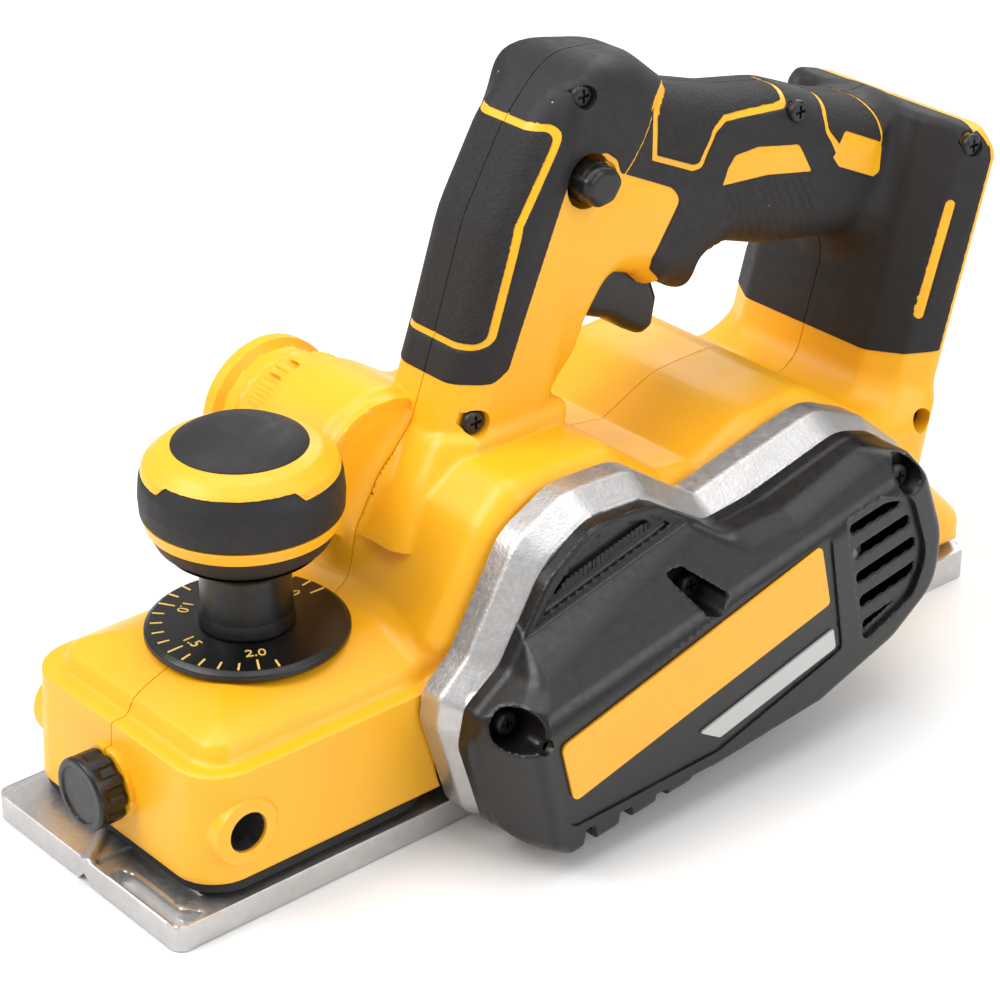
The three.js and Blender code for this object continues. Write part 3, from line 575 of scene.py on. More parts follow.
UPPER_PAD = Outline(UPPER_STRIP + [(32, 178)])
REAR_PAD = Outline(
    REAR_STRIP[:-1] + [(-43.5, 141), (-46, 145.6, 2), (-61.2, 138.2, 1), (-62, 146, 6), (-60, 166)]
)
TAB = Outline(
    [
        (37, 174), (30.3, 173.4), (24.7, 167.2, 1.5), (24.7, 164.7, 1.5), (27.5, 158.2), (37, 161),
    ]
)
LOZENGE = Outline(
    [
        (3.8, 143.5), (1.6, 147.8, 2), (-1.4, 150.6, 3), (-9.9, 151), (-26.2, 147.8, 2),
        (-31.7, 138.4), (-14, 142),
    ]
)
BLOCK = Outline(
    [
        (-45.9, 145.7, 1.5), (-61.4, 138.3, 1), (-60.2, 130.6, 2), (-57.5, 130), (-42.6, 137),
        (-40, 140.5),
    ]
)
MOUNT_SLOT = Outline([(-71.7, 123.1), (-61.9, 91.4)], closed=False)
STRIP_HALF = 0.8
PIPING = 1.7
RIB_PITCH, RIB_HEIGHT = 2.6, 0.28
FRONT_LINE = ((56, 123), (62.1, 119.2), (76.3, 110.7), (87.7, 104.4), (96.6, 99.8), (118.7, 91.4))
FRONT_LINE += ((150.2, 80.8), (174.5, 65.8), (187.8, 47.0))


def behind_front(x, z):
    """How far a point lies behind the column's front edge."""
    heights, places = zip(*FRONT_LINE)
    return (np.interp(z, heights, places) - x) * 0.92


def column_pad_region(x, y, z):
    """The textured pad on the column's front, inside its piping."""
    side = behind_front(x, z) - 4.4 + 0 * y
    return both(both(side, 120.3 - z, 2.5), z - 173.0, 2.5)


def grip_step(x, y):
    """Above zero behind the step between head and grip."""
    return 15 + 16 * (y / HANDLE_HALF) ** 2 - x


def upper_pad_region(x, y, z):
    """The textured pad on top of the grip."""
    return both(UPPER_PAD(x, z), -grip_step(x, y) + 0.3) + STRIP_HALF


def rear_pad_region(x, y, z):
    """The small textured pad behind it, in front of the yellow block."""
    return without(REAR_PAD(x, z), BLOCK(x, z)) + STRIP_HALF + 0 * y


def overmould_region(x, y, z):
    """Where the black soft plastic lies, apart from the separate textured pads."""
    rim = rear_x(z) + 3.2 + 4.5 * ease((z - 138) / 3) - x
    region = both(SOFT_SIDE(x, z), rim) + 0 * y
    yellow = [
        column_pad_region(x, y, z) - PIPING,
        UPPER_STRIP_LINE(x, z) - STRIP_HALF,
        REAR_STRIP_LINE(x, z) - STRIP_HALF,
        UPPER_PAD(x, z),
        REAR_PAD(x, z) - 0.2,
        LOZENGE(x, z),
        BLOCK(x, z),
        MOUNT_SLOT(x, z) - 1.25,
    ]
    behind_head = both(least([f + 0 * y for f in yellow[1:]]), -grip_step(x, y) - 0.4)
    behind_head = np.minimum(behind_head, both(TAB(x, z), -grip_step(x, y) - 0.4))
    return without(without(region, yellow[0], 0.2), behind_head, 0.2)


def lozenge_foot(x):
    """A height just under the lozenge's lower edge."""
    return 141.2 + 0.145 * (x + 14)


def grip_ribs(x, y, z):
    """Fine slanting ridges low on the grip's sides."""
    zone = both(both(z - lozenge_foot(x), -34 - x, 2), x - 3, 2)
    wave = np.cos((x * 0.86 - z * 0.5) * 2 * math.pi / RIB_PITCH)
    return RIB_HEIGHT * np.clip(wave, -0.6, 0.6) * ease(-zone / 1.5) * ease((np.abs(y) - 9) / 4)


def soft_skin(region, thick=1.7):
    """The solid of a skin over the form, where the region allows it."""

    def distance(x, y, z):
        form = trimmed_form(x, y, z)
        skin = both(form - PROUD - grip_ribs(x, y, z), region(x, y, z), 0.35)
        skin = np.maximum(skin, -form - thick)
        if region is overmould_region:
            skin = np.minimum(skin, np.maximum(well_linings(x, y, z), form - PROUD))
        return np.maximum(skin, -housing_openings(x, y, z, LINED_WELL_R))

    return distance


def build_soft_parts():
    """The black overmould and the textured pads, each a left and a right piece."""
    jobs = [
        ("soft_overmould", overmould_region, (-92, -42, 76), (112, 42, 194), "soft_grip"),
        ("column_pad", column_pad_region, (58, -19, 116), (98, 19, 177), "pad"),
        ("grip_pad_upper", upper_pad_region, (-32, -19, 148), (34, 19, 184), "pad"),
        ("grip_pad_rear", rear_pad_region, (-66, -19, 136), (-34, 19, 168), "pad"),
    ]
    for name, region, low, high, look_name in jobs:
        overmould = region is overmould_region
        step = 0.85 if overmould else 0.7
        for side, end in ((1, "_left"), (-1, "_right")):
            half = sculpted_half(name + end, soft_skin(region), low, high, step, side)
            nodes = ("handle_overmould" + end,) if overmould else ()
            finish(half, "planer_body", look_name, *nodes)


# ---------------------------------------------------------------- castings
FLANGE_SIDE = Outline(
    [
        (112, 2, 4), (123, 8.5, 8), (132, 38, 8), (131, 46, 5), (121.5, 54.5, 10), (105, 83, 16),
        (88, 91.5, 16), (66, 90.5, 16), (42.5, 74.5, 3), (27, 78, 10), (-5, 85, 18), (-23, 77, 12),
        (-43, 60, 16), (-43, 36, 20), (-26, 16, 16), (20, 7, 8), (85, 2, 8),
    ]
)
COVER_SCREWS = {
    "cover_screw_front": (122, 43, 62),
    "cover_screw_middle": (60, 61, 64),
    "cover_screw_rear": (-11, 72, 72),
}
FLANGE_LOW, FLANGE_PLATE, FLANGE_HIGH = 41.8, 48.0, 56.0


def main_casting(x, y, z):
    """Rear sole, belt flange, right bearing plate and the hood between them."""
    far = np.abs(y)
    sole = rectangle(x, y, REAR_END, MOUTH_REAR + 6, -SOLE_HALF, SOLE_HALF, 4)
    sole = both(both(sole, -z), z - SOLE_THICK, 0.5)
    side = FLANGE_SIDE(x, z)
    slope = 0.62 * np.maximum(y - 48.8, 0)
    flange = both(both(side + slope, FLANGE_LOW - y), y - FLANGE_HIGH, 0.6)
    belt_space = both(side + 8.2, FLANGE_PLATE - y)
    flange = without(flange, belt_space, 0.4)
    foot = both(both(between(x, -30, 82), between(y, 39, 43)), between(z, 2.5, SOLE_THICK))
    plate = both(rod(x, z, DRUM_X, DRUM_Z, 33), between(y, -48.4, -41.1), 1.5)
    plate = both(plate, 12 - z)
    hood = both(rod(x, z, DRUM_X, DRUM_Z, DRUM_R + 6), far - 42)
    hood = both(both(hood, x - DRUM_X - 4), SOLE_THICK - 1 - z)
    bosses = []
    for cx, cz, _ in COVER_SCREWS.values():
        bosses.append(both(both(rod(x, z, cx, cz, 5.2), side), between(y, 42, 56)))
    solid = either(sole, np.minimum(flange, foot), 0.8)
    solid = least([solid, plate, hood] + bosses)
    cuts = [
        both(rod(x, z, DRUM_X, DRUM_Z, DRUM_R + 2.5), far - SOLE_HALF),
        both(rod(x, z, DRUM_X, DRUM_Z, 13.4), np.minimum(38 - y, np.abs(y + 41.4) - 5.4)),
        both(rod(x, z, 0, MOTOR_Z, 8.9), 38 - y),
    ]
    cuts += [both(rod(x, z, cx, cz, 2.2), 49 - y) for cx, cz, _ in COVER_SCREWS.values()]
    return np.maximum(solid, -least(cuts))


POCKET = Outline(
    [
        (208.8, 10.5, 1), (205.6, 10, 1.5), (204.2, 14.5, 3), (204.2, 34, 5), (199, 40.2, 1.5),
        (208.8, 40.2, 2.5),
    ]
)
LEDGE = Outline(
    [
        (208.6, 3, 1), (208.6, 8.2, 1), (204.6, 8.6, 2), (202.8, 14, 3), (202.8, 33, 4), (196, 33),
        (196, 3),
    ]
)


def shoe_casting(x, y, z):
    """The adjustable front shoe, with its V groove, pocket and threaded boss."""
    plan = rectangle(x, y, MOUTH_FRONT - 30, FRONT_END, -SOLE_HALF, SOLE_HALF, 4)
    plan = both(plan, MOUTH_FRONT - 4 - x)
    plate = both(both(plan, -z, 0.4), z - SHOE_THICK, 0.5)
    plate = without(plate, both(POCKET(x, y), 4.2 - z), 0.5)
    plate = without(plate, both(LEDGE(x, y), 6.3 - z), 0.4)
    along = np.clip(((x - 198) * 11.5 + (y + 7) * 9) / 213.25, 0, 1)
    rib = np.sqrt((x - 198 - 11.0 * along) ** 2 + (y + 7 - 8.6 * along) ** 2 + (z - 6.2) ** 2) - 2.3
    plate = either(plate, both(rib, x - FRONT_END), 0.6)
    boss = rectangle(x, y, DIAL_X - 20, DIAL_X + 20, -15, 15, 4)
    boss = both(boss, between(z, SHOE_THICK - 1, 30), 0.6)
    solid = either(plate, boss, 1.5)
    groove = (np.abs(y) + z) * DIAGONAL - 2.1
    cuts = [
        groove,
        both(np.hypot(x - DIAL_X, y) - 5.4, SHOE_THICK + 1.5 - z),
        rod(x, z, DRUM_X, DRUM_Z, DRUM_R + 3) + 0 * y,
    ]
    return np.maximum(solid, -least(cuts))


def build_castings():
    frame_piece = sculpted("cast_main_frame", main_casting, (-87, -50, -2), (135, 58, 94), 0.95)
    finish(frame_piece, "planer_body", "cast_aluminium", "main_frame")
    shoe = sculpted("cast_front_shoe", shoe_casting, (102, -44, -2), (212, 44, 33), 0.7)
    finish(shoe, "front_shoe", "cast_aluminium", "front_shoe")


# ---------------------------------------------------------------- belt cover
COVER_SIDE = Outline(
    [
        (113, 6, 4), (123, 9.5, 8), (131.2, 36, 8), (129, 46.5, 4), (117.5, 54.5, 8),
        (104.2, 76, 14), (89, 86.5, 14), (68, 85.6, 14), (46, 71.2, 8), (28, 72.8, 10),
        (-5, 80.8, 16), (-20, 76, 12), (-28, 58, 18), (-28, 36, 14), (-10, 22, 12), (20, 15, 8),
    ]
)
COVER_FACE_SIDE = Outline(
    [
        (112, 6, 4), (118, 10, 5), (124.6, 42, 6), (119, 54), (10, 84), (-16, 76, 14),
        (-25.5, 52, 20), (-24.5, 36, 14), (-8, 24.5, 12), (30, 12),
    ]
)
COVER_LOW, COVER_FACE = 56.3, 80.0
VENT_SIDE = Outline(
    [
        (14.5, 68.8, 2), (-1, 71.2, 8), (-11.5, 68, 8), (-19.5, 47, 14), (-14.5, 35.5, 8),
        (4.8, 28, 3),
    ]
)
LABEL_SIDE = Outline([(117, 41, 2.5), (24.2, 65.2, 1.5), (19.6, 46, 1.5), (112.4, 22.6, 2.5)])
LABEL_STRIP = Outline([(67.4, 24.6), (17.6, 37.2, 0.5), (16.2, 30.9, 1), (60, 20.2, 1)])
LABEL_PANEL = Outline([(120.6, 43, 4), (20.6, 68, 2), (13.4, 29.5, 2), (60, 16), (113.5, 14.5, 5)])
SCREW_SLOT = Outline(
    [
        (70, 68.3, 1), (64.6, 69, 1), (56.6, 62, 1.5), (60, 57.2, 2.5), (65, 58.7, 2),
    ]
)
TEETH = (100.3, 87.4, 74.3, 57.5)
VENT_PITCH, VENT_HALF = 8.5, 1.9
RIDGE_LEAN = -0.25


def cover_form(x, y, z):
    """The belt cover's outside, with its screw notches."""
    side = COVER_SIDE(x, z)
    depth = COVER_FACE - y
    face_z = 67.5 - 0.198 * (x - 20)
    top = (z - face_z - 0.84 * depth) * 0.75
    slab = both(both(COVER_FACE_SIDE(x, z) - 0.33 * depth, side), y - COVER_FACE, 2.2)
    slab = both(slab, top, 3)
    teeth = least([np.abs(x - t) - 3.8 for t in TEETH] + [108.5 - x])
    floor = 11.8 - z - 5.6 * ease(0.5 - teeth / 1.6) * ease((140 - x) / 10)
    slab = both(slab, np.where(y > 62, floor, -9), 0.8)
    arch = both(side, y - 60.6, 1.0)
    ridge = z - 62 - RIDGE_LEAN * (x - 117.6)
    hollow = both(both(side + 3.2, y * -1 + 59.2), 1.6 - ridge, 1)
    arch = without(arch, hollow, 0.4)
    strip = both(both(np.abs(ridge - 6.4) - 1.4, between(x, 69, 109)), side + 4.5, 0.6)
    ribs = 0.25 * np.cos(x * 2 * math.pi / 1.5)
    arch = np.minimum(arch, both(strip, np.abs(y - 59.3) - 1.2 - ribs))
    form = either(slab, arch, 0.8)
    (fx, fz, fy), (_, _, my), (rx, rz, ry) = COVER_SCREWS.values()
    form = without(form, both(SCREW_SLOT(x, z), my - y), 0.4)
    valley = rod(x - 0.35 * (y - fy), z - 0.25 * (y - fy), fx, fz, 4.8 + 0.12 * (y - fy))
    form = without(form, both(valley, fy - y), 1.0)
    form = without(form, both(rod(x, z, rx, rz + 1.5, 4.6), ry - y), 0.8)
    return np.maximum(form, COVER_LOW - y)


def cover_shell(x, y, z):
    """The hollow cover with its label panel, vents and screw posts."""
    form = cover_form(x, y, z)
    inner = both(COVER_SIDE(x, z) + 2.2, y - 57.4)
    inner = np.minimum(inner, np.maximum(form + 2.2, COVER_LOW - 2 - y))
    shell = np.maximum(form, -inner)
    posts = [both(rod(x, z, cx, cz, 5.5), y - head) for cx, cz, head in COVER_SCREWS.values()]
    shell = np.minimum(shell, np.maximum(least(posts), form))
    shell = without(shell, both(LABEL_PANEL(x, z), COVER_FACE - 0.7 - y), 0.3)
    shell = without(shell, both(VENT_SIDE(x, z), COVER_FACE - 1.5 - y), 0.4)
    slots = least([np.abs(z + 0.16 * x - 32.6 - VENT_PITCH * k) - VENT_HALF for k in range(5)])
    shell = without(shell, both(both(slots, VENT_SIDE(x, z) + 2.0, 1.5), 74 - y), 0.5)
    holes = [both(rod(x, z, cx, cz, 2.2), 50 - y) for cx, cz, _ in COVER_SCREWS.values()]
    return np.maximum(shell, -least(holes))


def label_plate(x, y, z):
    """The blank yellow plate."""
    return both(LABEL_SIDE(x, z), between(y, COVER_FACE - 0.65, COVER_FACE + 0.1), 0.15)


def label_strip(x, y, z):
    """The grey strip under it."""
    return both(LABEL_STRIP(x, z), between(y, COVER_FACE - 0.65, COVER_FACE + 0.05), 0.15)


def build_cover():
    cover = sculpted("cover_shell", cover_shell, (-31, 54.5, 3), (134, 81.5, 90), 0.72)
    finish(cover, "planer_body", "black_plastic", "belt_cover")
    plate = sculpted("label_blank", label_plate, (16, 78.6, 19), (121, 80.6, 69), 0.5)
    finish(plate, "planer_body", "label_foil", "label_plate")
    strip = sculpted("label_grey_strip", label_strip, (13, 78.6, 17), (71, 80.6, 40), 0.5)
    finish(strip, "planer_body", "grey_print")


# ---------------------------------------------------------------- turned and small pieces
def turned(name, profile, centre, segments=96):
    """A solid turned about an upright axis, from (radius, height) corners that start and end on it."""
    outline = rounded(profile, 0.3)
    outline[:, 0] = np.maximum(outline[:, 0], 0)
    bm = bmesh.new()
    rings = []
    for radius, height in outline:
        ring = []
        for k in range(segments if radius > 1e-6 else 1):
            a = 2 * math.pi * k / segments
            place = Vector((radius * math.cos(a), radius * math.sin(a), height)) + Vector(centre)
            ring.append(bm.verts.new(place * MM))
        rings.append(ring)
    for low, high in zip(rings, rings[1:] + rings[:1]):
        if len(low) == 1 and len(high) == 1:
            continue
        for k in range(segments):
            n = (k + 1) % segments
            corner = [low[k % len(low)], low[n % len(low)], high[n % len(high)], high[k % len(high)]]
            bm.faces.new(list(dict.fromkeys(corner)))
    bmesh.ops.recalc_face_normals(bm, faces=bm.faces[:])
    mesh = bpy.data.meshes.new(name)
    bm.to_mesh(mesh)
    bm.free()
    obj = linked(name, mesh)
    soften(obj)
    return obj


def build_knob():
    """The depth knob: stem, bowl, bands and domed cap, and the numbered dial under it."""
    centre = (DIAL_X, 0, 0)
    parts = {
        "knob_stem": (
            "black_plastic",
            [(0, 58.1), (12.8, 58.1, 0.5), (12.2, 62, 1), (11.9, 75.5, 2.5)]
            + [(15.5, 77.8, 3), (20, 80), (0, 80)],
        ),
        "knob_bowl": (
            "soft_grip",
            [(0, 77.9), (16.8, 78.4, 0.6), (22.5, 82.6, 2), (25.0, 87.6, 0.3), (0, 87.6)],
        ),
        "knob_thin_band": (
            "yellow_plastic",
            [(0, 87.3), (25.0, 87.3, 0.2), (26.1, 91.0, 0.2), (0, 91.0)],
        ),
        "knob_grip_band": (
            "soft_grip",
            [(0, 91.2), (26.25, 91.4, 0.4), (26.5, 96, 5), (26.0, 101, 3)]
            + [(23.9, 105.2, 0.6), (0, 106)],
        ),
        "knob_cap": (
            "soft_grip",
            [(0, 106), (17.5, 107.8, 0.5), (17.7, 109.5, 0.8), (13, 112.2, 8), (6, 114, 8), (0, 114)],
        ),
    }
    for name, (look_name, profile) in parts.items():
        nodes = ("depth_knob",) if name == "knob_stem" else ()
        finish(turned(name, profile, centre), "depth_knob", look_name, *nodes)
    ring_side = Outline(
        [(17.0, 104), (17.0, 109.5, 0.4), (21.0, 107.9, 3), (24.9, 104.6, 1.5), (26.3, 99), (22, 99)]
    )

    def ring(x, y, z):
        """The yellow ring round the cap, wider in two tabs."""
        r = np.hypot(x - DIAL_X, y)
        angle = np.arctan2(y, x - DIAL_X)
        tab = ease(0.5 - 3.5 * np.cos(2 * (angle - math.pi / 4)))
        lower = 104.9 - 2.6 * tab - z
        return both(ring_side(r, z + 0 * r), lower, 0.4)

    band = sculpted("knob_ring", ring, (128, -28, 97), (183, 28, 111), 0.6)
    finish(band, "depth_knob", "yellow_plastic")
    dial = [(0, 54.5), (DIAL_R - 0.4, 54.5, 0.3), (DIAL_R, 55.0, 0.3), (DIAL_R, 56.4, 0.6)]
    dial += [(DIAL_R - 1.6, 57.5, 0.8), (14.5, 57.8, 0.3), (14.0, 57.9), (0, 57.9)]
    finish(turned("dial_plate", dial, centre, 144), "depth_knob", "black_plastic", "depth_dial")
    build_dial_marks()


DIAL_NUMBERS = {-172: "0", -120: "0.5", -60: "1.0", 0: "1.5", 60: "2.0"}  # by angle in degrees
NUMBER_SIZE, NUMBER_R, NUMBER_Z = 4.6, 17.7, 57.85
LONG_TICK_R, SHORT_TICK_R, TICK_END_R, TICK_Z = 20.6, 22.0, 25.2, 57.55


def build_dial_marks():
    """Ticks every 12 degrees, longer at the numbers, and the numbers themselves."""
    bm = bmesh.new()
    for degrees in range(-180, 73, 12):
        inner = LONG_TICK_R if degrees % 60 == 0 else SHORT_TICK_R
        turn = Matrix.Translation((DIAL_X * MM, 0, 0)) @ Matrix.Rotation(math.radians(degrees), 4, "Z")
        size = Matrix.Diagonal(((TICK_END_R - inner) * MM, 0.55 * MM, 0.3 * MM, 1))
        place = Matrix.Translation(((TICK_END_R + inner) / 2 * MM, 0, TICK_Z * MM))
        bmesh.ops.create_cube(bm, size=1, matrix=turn @ place @ size)
    mesh = bpy.data.meshes.new("dial_ticks")
    bm.to_mesh(mesh)
    bm.free()
    finish(linked("dial_ticks", mesh), "depth_knob", "dial_print")
    for degrees, label in DIAL_NUMBERS.items():
        curve = bpy.data.curves.new("dial_number", "FONT")
        curve.body = label
        curve.size = NUMBER_SIZE * MM
        curve.extrude = 0.1 * MM
        curve.align_x = "CENTER"
        curve.align_y = "CENTER"
        text = linked("dial_number_source", curve)
        angle = math.radians(degrees)
        at = (DIAL_X + NUMBER_R * math.cos(angle), NUMBER_R * math.sin(angle), NUMBER_Z)
        spin = Matrix.Rotation(angle + math.pi / 2, 4, "Z")
        place = Matrix.Translation([MM * c for c in at]) @ spin
        bpy.context.view_layer.update()
        mesh = bpy.data.meshes.new_from_object(text)
        mesh.transform(place)
        bpy.data.objects.remove(text)
        name = "dial_number_" + label.replace(".", "_")
        finish(linked(name, mesh), "depth_knob", "dial_print")


TRIGGER_SIDE = Outline(
    [
        (49.5, 117, 2), (47, 123.5, 3), (40, 128.5, 4), (30, 128, 4), (20.5, 121, 3),
        (16.8, 111, 3), (18.3, 102.5, 3), (22.5, 100.7, 4), (29, 104.5, 8), (35, 109.2, 8),
        (42, 112, 8),
    ]
)
LOCK_SIDE = Outline(
    [
        (46.2, 158, 3), (49.5, 153.2, 3), (55, 152.4, 3), (59.6, 157, 2), (59.2, 161, 2),
        (55, 164.2, 4), (49, 162.5, 4),
    ]
)


def thumb_screw(x, y, z):
    """The fence's thumb screw: a disc with broad scalloped flutes, and its shank."""
    radius = np.hypot(y, z - FENCE_Z)
    angle = np.arctan2(z - FENCE_Z, y)
    flute = 0.9 * ease((0.4 - np.cos(10 * angle)) / 0.9) * ease((208.0 - x) / 2)
    head = both(radius - 10.0 + flute, between(x, 201.3, 209.7), 0.9)
    face = both(radius - 7.9, 209.2 - x)
    head = without(head, face, 0.3)
    shank = both(radius - 3.0, between(x, 193.3, 203))
    return np.minimum(head, shank)


def trigger_form(x, y, z):
    """The trigger, hollowed for a finger, with rounded sides."""
    side = TRIGGER_SIDE(x, z)
    finger = both(side, np.abs(y) - 8.1, 3.2)
    pin = both(rod(x, z, PIN_X, PIN_Z, 1.9), np.abs(y) - 30)
    return np.maximum(finger, -pin)


def lock_button(x, y, z):
    """The push-through lock-off: a round bar with a pear-shaped knob on each end."""
    bar = both(rod(x, z, LOCK_X, LOCK_Z, LOCK_R - 1.2), np.abs(y) - 20)
    knob = both(rod(x, z, LOCK_X, LOCK_Z, LOCK_R), LOCK_SIDE(x, z))
    knob = both(knob, between(np.abs(y), 15.6, 24.4), 2.2)
    return either(bar, knob, 1.0)


def dust_port(x, y, z):
    """The port's sleeve, with a lip and ridges, and its open bore."""
    radius = np.hypot(x - DUST_X, z - DUST_Z)
    outer = np.interp(y, [-56, -52, -50, -44, -42, -34], [21, 21, 18.8, 18.8, 19.9, 20.1])
    rib = 0.5 * np.exp(-(((y + 45.5) / 0.7) ** 2))
    sleeve = both(radius - outer - rib, between(y, -56, -33.4), 0.7)
    return without(sleeve, radius - DUST_BORE + 0.03 * (y + 33.4), 0.5)


def screw_form(cx, cz, low, head, shank, cap):
    """A pan-head screw along y with a cross recess."""

    def distance(x, y, z):
        radius = np.hypot(x - cx, z - cz)
        dome = both(radius - cap, between(y, head - 0.5, head + 2.2), 1.0)
        across, up = np.abs(x - cx), np.abs(z - cz)
        cross = np.minimum(both(across - 0.45, up - 1.9), both(up - 0.45, across - 1.9))
        dome = without(dome, both(cross, head + 0.9 - y))
        return np.minimum(dome, both(radius - shank, between(y, low, head)))

    return distance


def front_skirt(x, y, z):
    """The black seal under the front box."""
    plan = rectangle(x, y, MOUTH_FRONT + 16, 199.4, 0.6 - BODY_HALF, BODY_HALF - 0.6, 12.4)
    hole = rectangle(x, y, MOUTH_FRONT + 32, 184, 16 - BODY_HALF, BODY_HALF - 16, 4)
    return both(without(plan, hole), between(z, 9.8, 12.4), 0.4)


def drum_form(x, y, z):
    """The cutter drum with its two blade slots."""
    body = both(rod(x, z, DRUM_X, DRUM_Z, DRUM_R - 1.4), np.abs(y) - 40.5, 0.5)
    body = np.maximum(body, 8 - np.hypot(x - DRUM_X, z - DRUM_Z))
    for angle in (math.pi / 4, 5 * math.pi / 4):
        out = (x - DRUM_X) * math.cos(angle) - (z - DRUM_Z) * math.sin(angle)
        across = (x - DRUM_X) * math.sin(angle) + (z - DRUM_Z) * math.cos(angle)
        slot = both(12.2 - out, between(across, -6.8, 0.85))
        body = np.maximum(body, -slot - 0 * y)
    return body


def build_small_pieces():
    """The thumb screw, trigger, lock-off, dust port, skirt, drum and screws."""
    screw = sculpted("thumb_screw_knob", thumb_screw, (192, -11, 15.5), (211, 11, 38), 0.4)
    finish(screw, "thumb_screw", "black_plastic", "fence_thumb_screw")
    finger = sculpted("trigger_lever", trigger_form, (14, -9.5, 98), (52, 9.5, 131), 0.6)
    finish(finger, "trigger", "black_plastic", "trigger")
    button = sculpted("lock_off_knob", lock_button, (44, -26, 149), (62, 26, 167), 0.55)
    finish(button, "lock_off", "black_plastic", "lock_off_button")
    port = sculpted("dust_outlet", dust_port, (83, -57.5, 60), (130, -32, 107), 0.7)
    finish(port, "planer_body", "yellow_plastic", "dust_port")
    skirt = sculpted("shoe_skirt", front_skirt, (120, -43, 8), (203, 43, 14), 0.7)
    finish(skirt, "planer_body", "black_rubber", "front_skirt")
    drum = sculpted("drum_body", drum_form, (71, -41.5, -1), (121, 41.5, 49), 0.9)
    finish(drum, "drum", "steel", "cutter_drum")
    wells = {**SCREWS, **COVER_SCREWS}
    for name, (cx, cz, floor) in wells.items():
        housing_screw = name in SCREWS
        low = -9 if housing_screw else FLANGE_HIGH - 4
        shank, cap = (1.6, 3.2) if housing_screw else (1.9, 3.3)
        form = screw_form(cx, cz, low, floor + 0.9, shank, cap)
        low_corner = (cx - 4, low - 1, cz - 4)
        piece = sculpted("fine_" + name, form, low_corner, (cx + 4, floor + 4.5, cz + 4), 0.33)
        finish(piece, "planer_body", "dark_steel", name)


# ---------------------------------------------------------------- materials
MATERIALS = {}


def look(name, colour, rough, metal=0.0, grain=(1500, 0.15, 0.05), vary=(120, 0.06), wear=0.0):
    """A moulded, cast or turned finish: fine bump, mottled colour and roughness, worn edges.

    grain is the bump's scale, strength and height in mm; vary is the mottling's scale and amount.
    """
    material = bpy.data.materials.new(name)
    material.use_nodes = True
    nodes, links = material.node_tree.nodes, material.node_tree.links
    shader = nodes["Principled BSDF"]
    shader.inputs["Metallic"].default_value = metal
    place = nodes.new("ShaderNodeTexCoord")

    def node(kind, **values):
        new = nodes.new("ShaderNode" + kind)
        for socket, value in values.items():
            new.inputs[socket.replace("_", " ")].default_value = value
        return new

    def noise(scale, detail=3.0):
        new = node("TexNoise", Scale=scale, Detail=detail)
        links.new(place.outputs["Object"], new.inputs["Vector"])
        return new.outputs["Fac"]

    def mapped(source, low, high):
        new = node("MapRange", From_Min=0.3, From_Max=0.7, To_Min=low, To_Max=high)
        links.new(source, new.inputs["Value"])
        return new.outputs["Result"]

    def mixed(factor, first, second):
        new = node("Mix")
        new.data_type = "RGBA"
        links.new(factor, new.inputs["Factor"])
        for socket, value in zip(("A", "B"), (first, second)):
            target = next(i for i in new.inputs if i.name == socket and i.type == "RGBA")
            if isinstance(value, tuple):
                target.default_value = (*value, 1)
            else:
                links.new(value, target)
        return next(o for o in new.outputs if o.type == "RGBA")

    scale, amount = vary
    dark = tuple(c * (1 - amount) for c in colour)
    pale = tuple(min(1, c * (1 + amount)) for c in colour)
    tint = mixed(mapped(noise(scale), 0, 1), dark, pale)
    if wear:
        bright = node("MapRange", From_Min=0.53, From_Max=0.62)
        links.new(node("NewGeometry").outputs["Pointiness"], bright.inputs["Value"])
        worn = node("Math")
        worn.operation = "MULTIPLY"
        worn.inputs[1].default_value = wear
        links.new(bright.outputs["Result"], worn.inputs[0])
        tint = mixed(worn.outputs["Value"], tint, tuple(min(1, c * 1.7) for c in colour))
    links.new(tint, shader.inputs["Base Color"])
    links.new(mapped(noise(scale * 2.3), rough - 0.05, rough + 0.06), shader.inputs["Roughness"])
    grain_scale, strength, height = grain
    bump = node("Bump", Strength=strength, Distance=height * MM)
    links.new(noise(grain_scale, 2.0), bump.inputs["Height"])
    links.new(bump.outputs["Normal"], shader.inputs["Normal"])
    MATERIALS[name] = material


def build_materials():
    look("yellow_plastic", (0.95, 0.455, 0.012), 0.36, grain=(1400, 0.22, 0.08), vary=(35, 0.03))
    look("soft_grip", (0.0085, 0.0068, 0.0070), 0.6, grain=(1300, 0.3, 0.12), vary=(150, 0.12))
    look("pad", (0.0105, 0.0088, 0.0078), 0.7, grain=(1150, 0.9, 0.35), vary=(600, 0.35))
    look("black_plastic", (0.0045, 0.0041, 0.0042), 0.34, grain=(1200, 0.35, 0.1), vary=(180, 0.12))
    look("black_rubber", (0.006, 0.006, 0.006), 0.7, grain=(900, 0.4, 0.1))
    aluminium_grain = (1100, 0.55, 0.16)
    look("cast_aluminium", (0.56, 0.55, 0.545), 0.42, 0.92, aluminium_grain, (260, 0.05), 0.5)
    look("steel", (0.46, 0.46, 0.47), 0.3, 1.0, grain=(1600, 0.15, 0.05), wear=0.3)
    look("dark_steel", (0.035, 0.034, 0.034), 0.38, 0.6, grain=(1600, 0.2, 0.05), wear=0.6)
    look("carbide", (0.62, 0.63, 0.65), 0.22, 1.0, grain=(2000, 0.1, 0.03), wear=0.3)
    look("copper_windings", (0.6, 0.28, 0.14), 0.35, 1.0, grain=(900, 0.6, 0.2))
    look("label_foil", (0.92, 0.42, 0.016), 0.28, grain=(2400, 0.06, 0.02), vary=(60, 0.02))
    look("grey_print", (0.50, 0.50, 0.49), 0.35, grain=(2400, 0.06, 0.02), vary=(60, 0.03))
    look("dial_print", (0.93, 0.62, 0.16), 0.45, grain=(2400, 0.06, 0.02), vary=(300, 0.08))


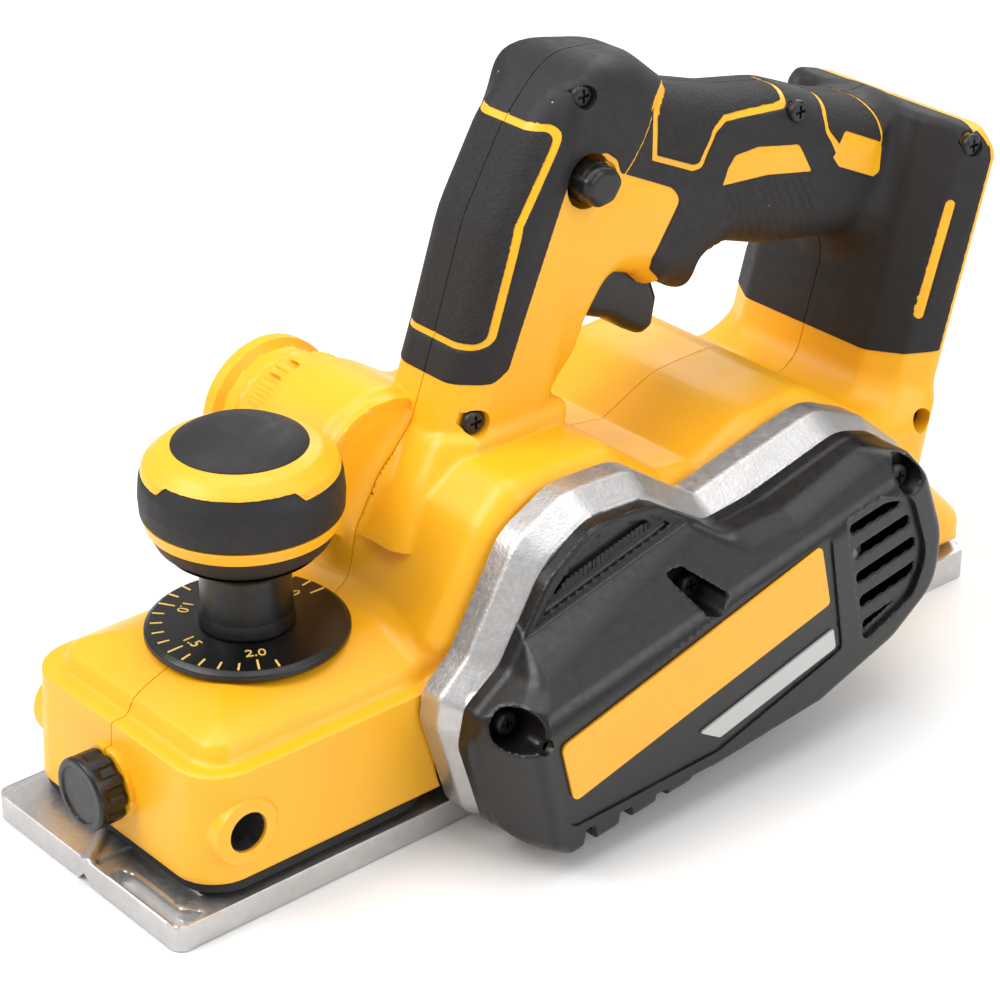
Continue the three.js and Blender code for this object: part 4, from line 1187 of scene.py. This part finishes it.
SLOTS = {  # the record's slot for each look that is not named after one
    "pad": "soft_grip",
    "dark_steel": "steel",
    "grey_print": "label_foil",
    "dial_print": "label_foil",
}


def finish(piece, body, look_name, *nodes):
    """Gives a piece its material and its body, and hides the CAD nodes it stands for."""
    piece.data.materials.clear()
    piece.data.materials.append(MATERIALS[look_name])
    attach(piece, body)
    if nodes:
        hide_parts(*nodes)
    SLOTS.get(look_name, look_name)


NODE_LOOKS = {
    "steel": (
        "blade_clamp_1 blade_clamp_2 drum_shaft drum_bearing_right drum_bearing_left drum_pulley "
        "drum_pulley_nut motor_rotor motor_shaft motor_bearing_right motor_bearing_left "
        "motor_pulley depth_spindle shoe_spring fence_rod_sleeve trigger_pin "
        "terminal_1 terminal_2 terminal_3 terminal_4"
    ),
    "carbide": "blade_1 blade_2",
    "copper_windings": "motor_stator",
    "black_plastic": "cooling_fan power_switch terminal_block motor_controller",
    "cast_aluminium": "motor_end_bracket",
    "black_rubber": "drive_belt",
}


def dress_nodes():
    """Better materials on the CAD pieces that stay."""
    for look_name, names in NODE_LOOKS.items():
        for name in names.split():
            slots = NODES[name].data.materials
            slots.clear()
            slots.append(MATERIALS[look_name])


# ---------------------------------------------------------------- stage, lights and camera
def build_stage():
    """The pale floor and a white surround."""
    mesh = bpy.data.meshes.new("floor")
    reach = 6.0
    corners = [(-reach, -reach), (reach, -reach), (reach, reach), (-reach, reach)]
    mesh.from_pydata([(x, y, -0.0002) for x, y in corners], [], [(0, 1, 2, 3)])
    floor = linked("floor", mesh)
    look("floor_paper", (0.86, 0.86, 0.86), 0.8, grain=(300, 0.05, 0.05), vary=(3, 0.004))
    mesh.materials.append(MATERIALS["floor_paper"])
    world = bpy.data.worlds.new("studio")
    world.use_nodes = True
    background = world.node_tree.nodes["Background"]
    background.inputs["Color"].default_value = (1, 1, 1, 1)
    background.inputs["Strength"].default_value = 0.55
    bpy.context.scene.world = world
    bpy.context.scene.view_settings.view_transform = "Standard"


def soft_light(name, place, target, size, watts):
    """A rectangular lamp that faces the target."""
    data = bpy.data.lights.new(name, "AREA")
    data.shape = "RECTANGLE"
    data.size, data.size_y = size
    data.energy = watts
    lamp = linked(name, data)
    lamp.location = place
    lamp.rotation_euler = (Vector(target) - Vector(place)).to_track_quat("-Z", "Y").to_euler()


def build_lights():
    middle = (0.06, 0, 0.08)
    soft_light("key_left", (0.9, -0.35, 1.0), middle, (0.9, 0.7), 11)
    soft_light("fill_right", (-0.3, 1.1, 0.8), middle, (0.9, 0.7), 6)
    soft_light("overhead", (0.0, 0.0, 1.3), middle, (1.2, 1.0), 9)
    soft_light("rim_back", (-0.9, -0.5, 0.8), middle, (0.8, 0.6), 5)


def build_camera():
    """A long lens, from the front left and a little above."""
    data = bpy.data.cameras.new("camera")
    data.lens = 108
    data.sensor_width = 36
    data.clip_start = 0.01
    camera = linked("camera", data)
    camera.location = (0.54675, 0.54882, 0.45346)
    heading = Vector((-0.57899, -0.66392, -0.47327))
    roll = Matrix.Rotation(math.radians(0.14), 3, "Z")
    camera.rotation_euler = (heading.to_track_quat("-Z", "Y").to_matrix() @ roll).to_euler()
    bpy.context.scene.camera = camera


build_materials()
build_stage()
build_lights()
build_camera()
build_housing()
build_soft_parts()
build_castings()
build_cover()
build_knob()
build_small_pieces()
dress_nodes()
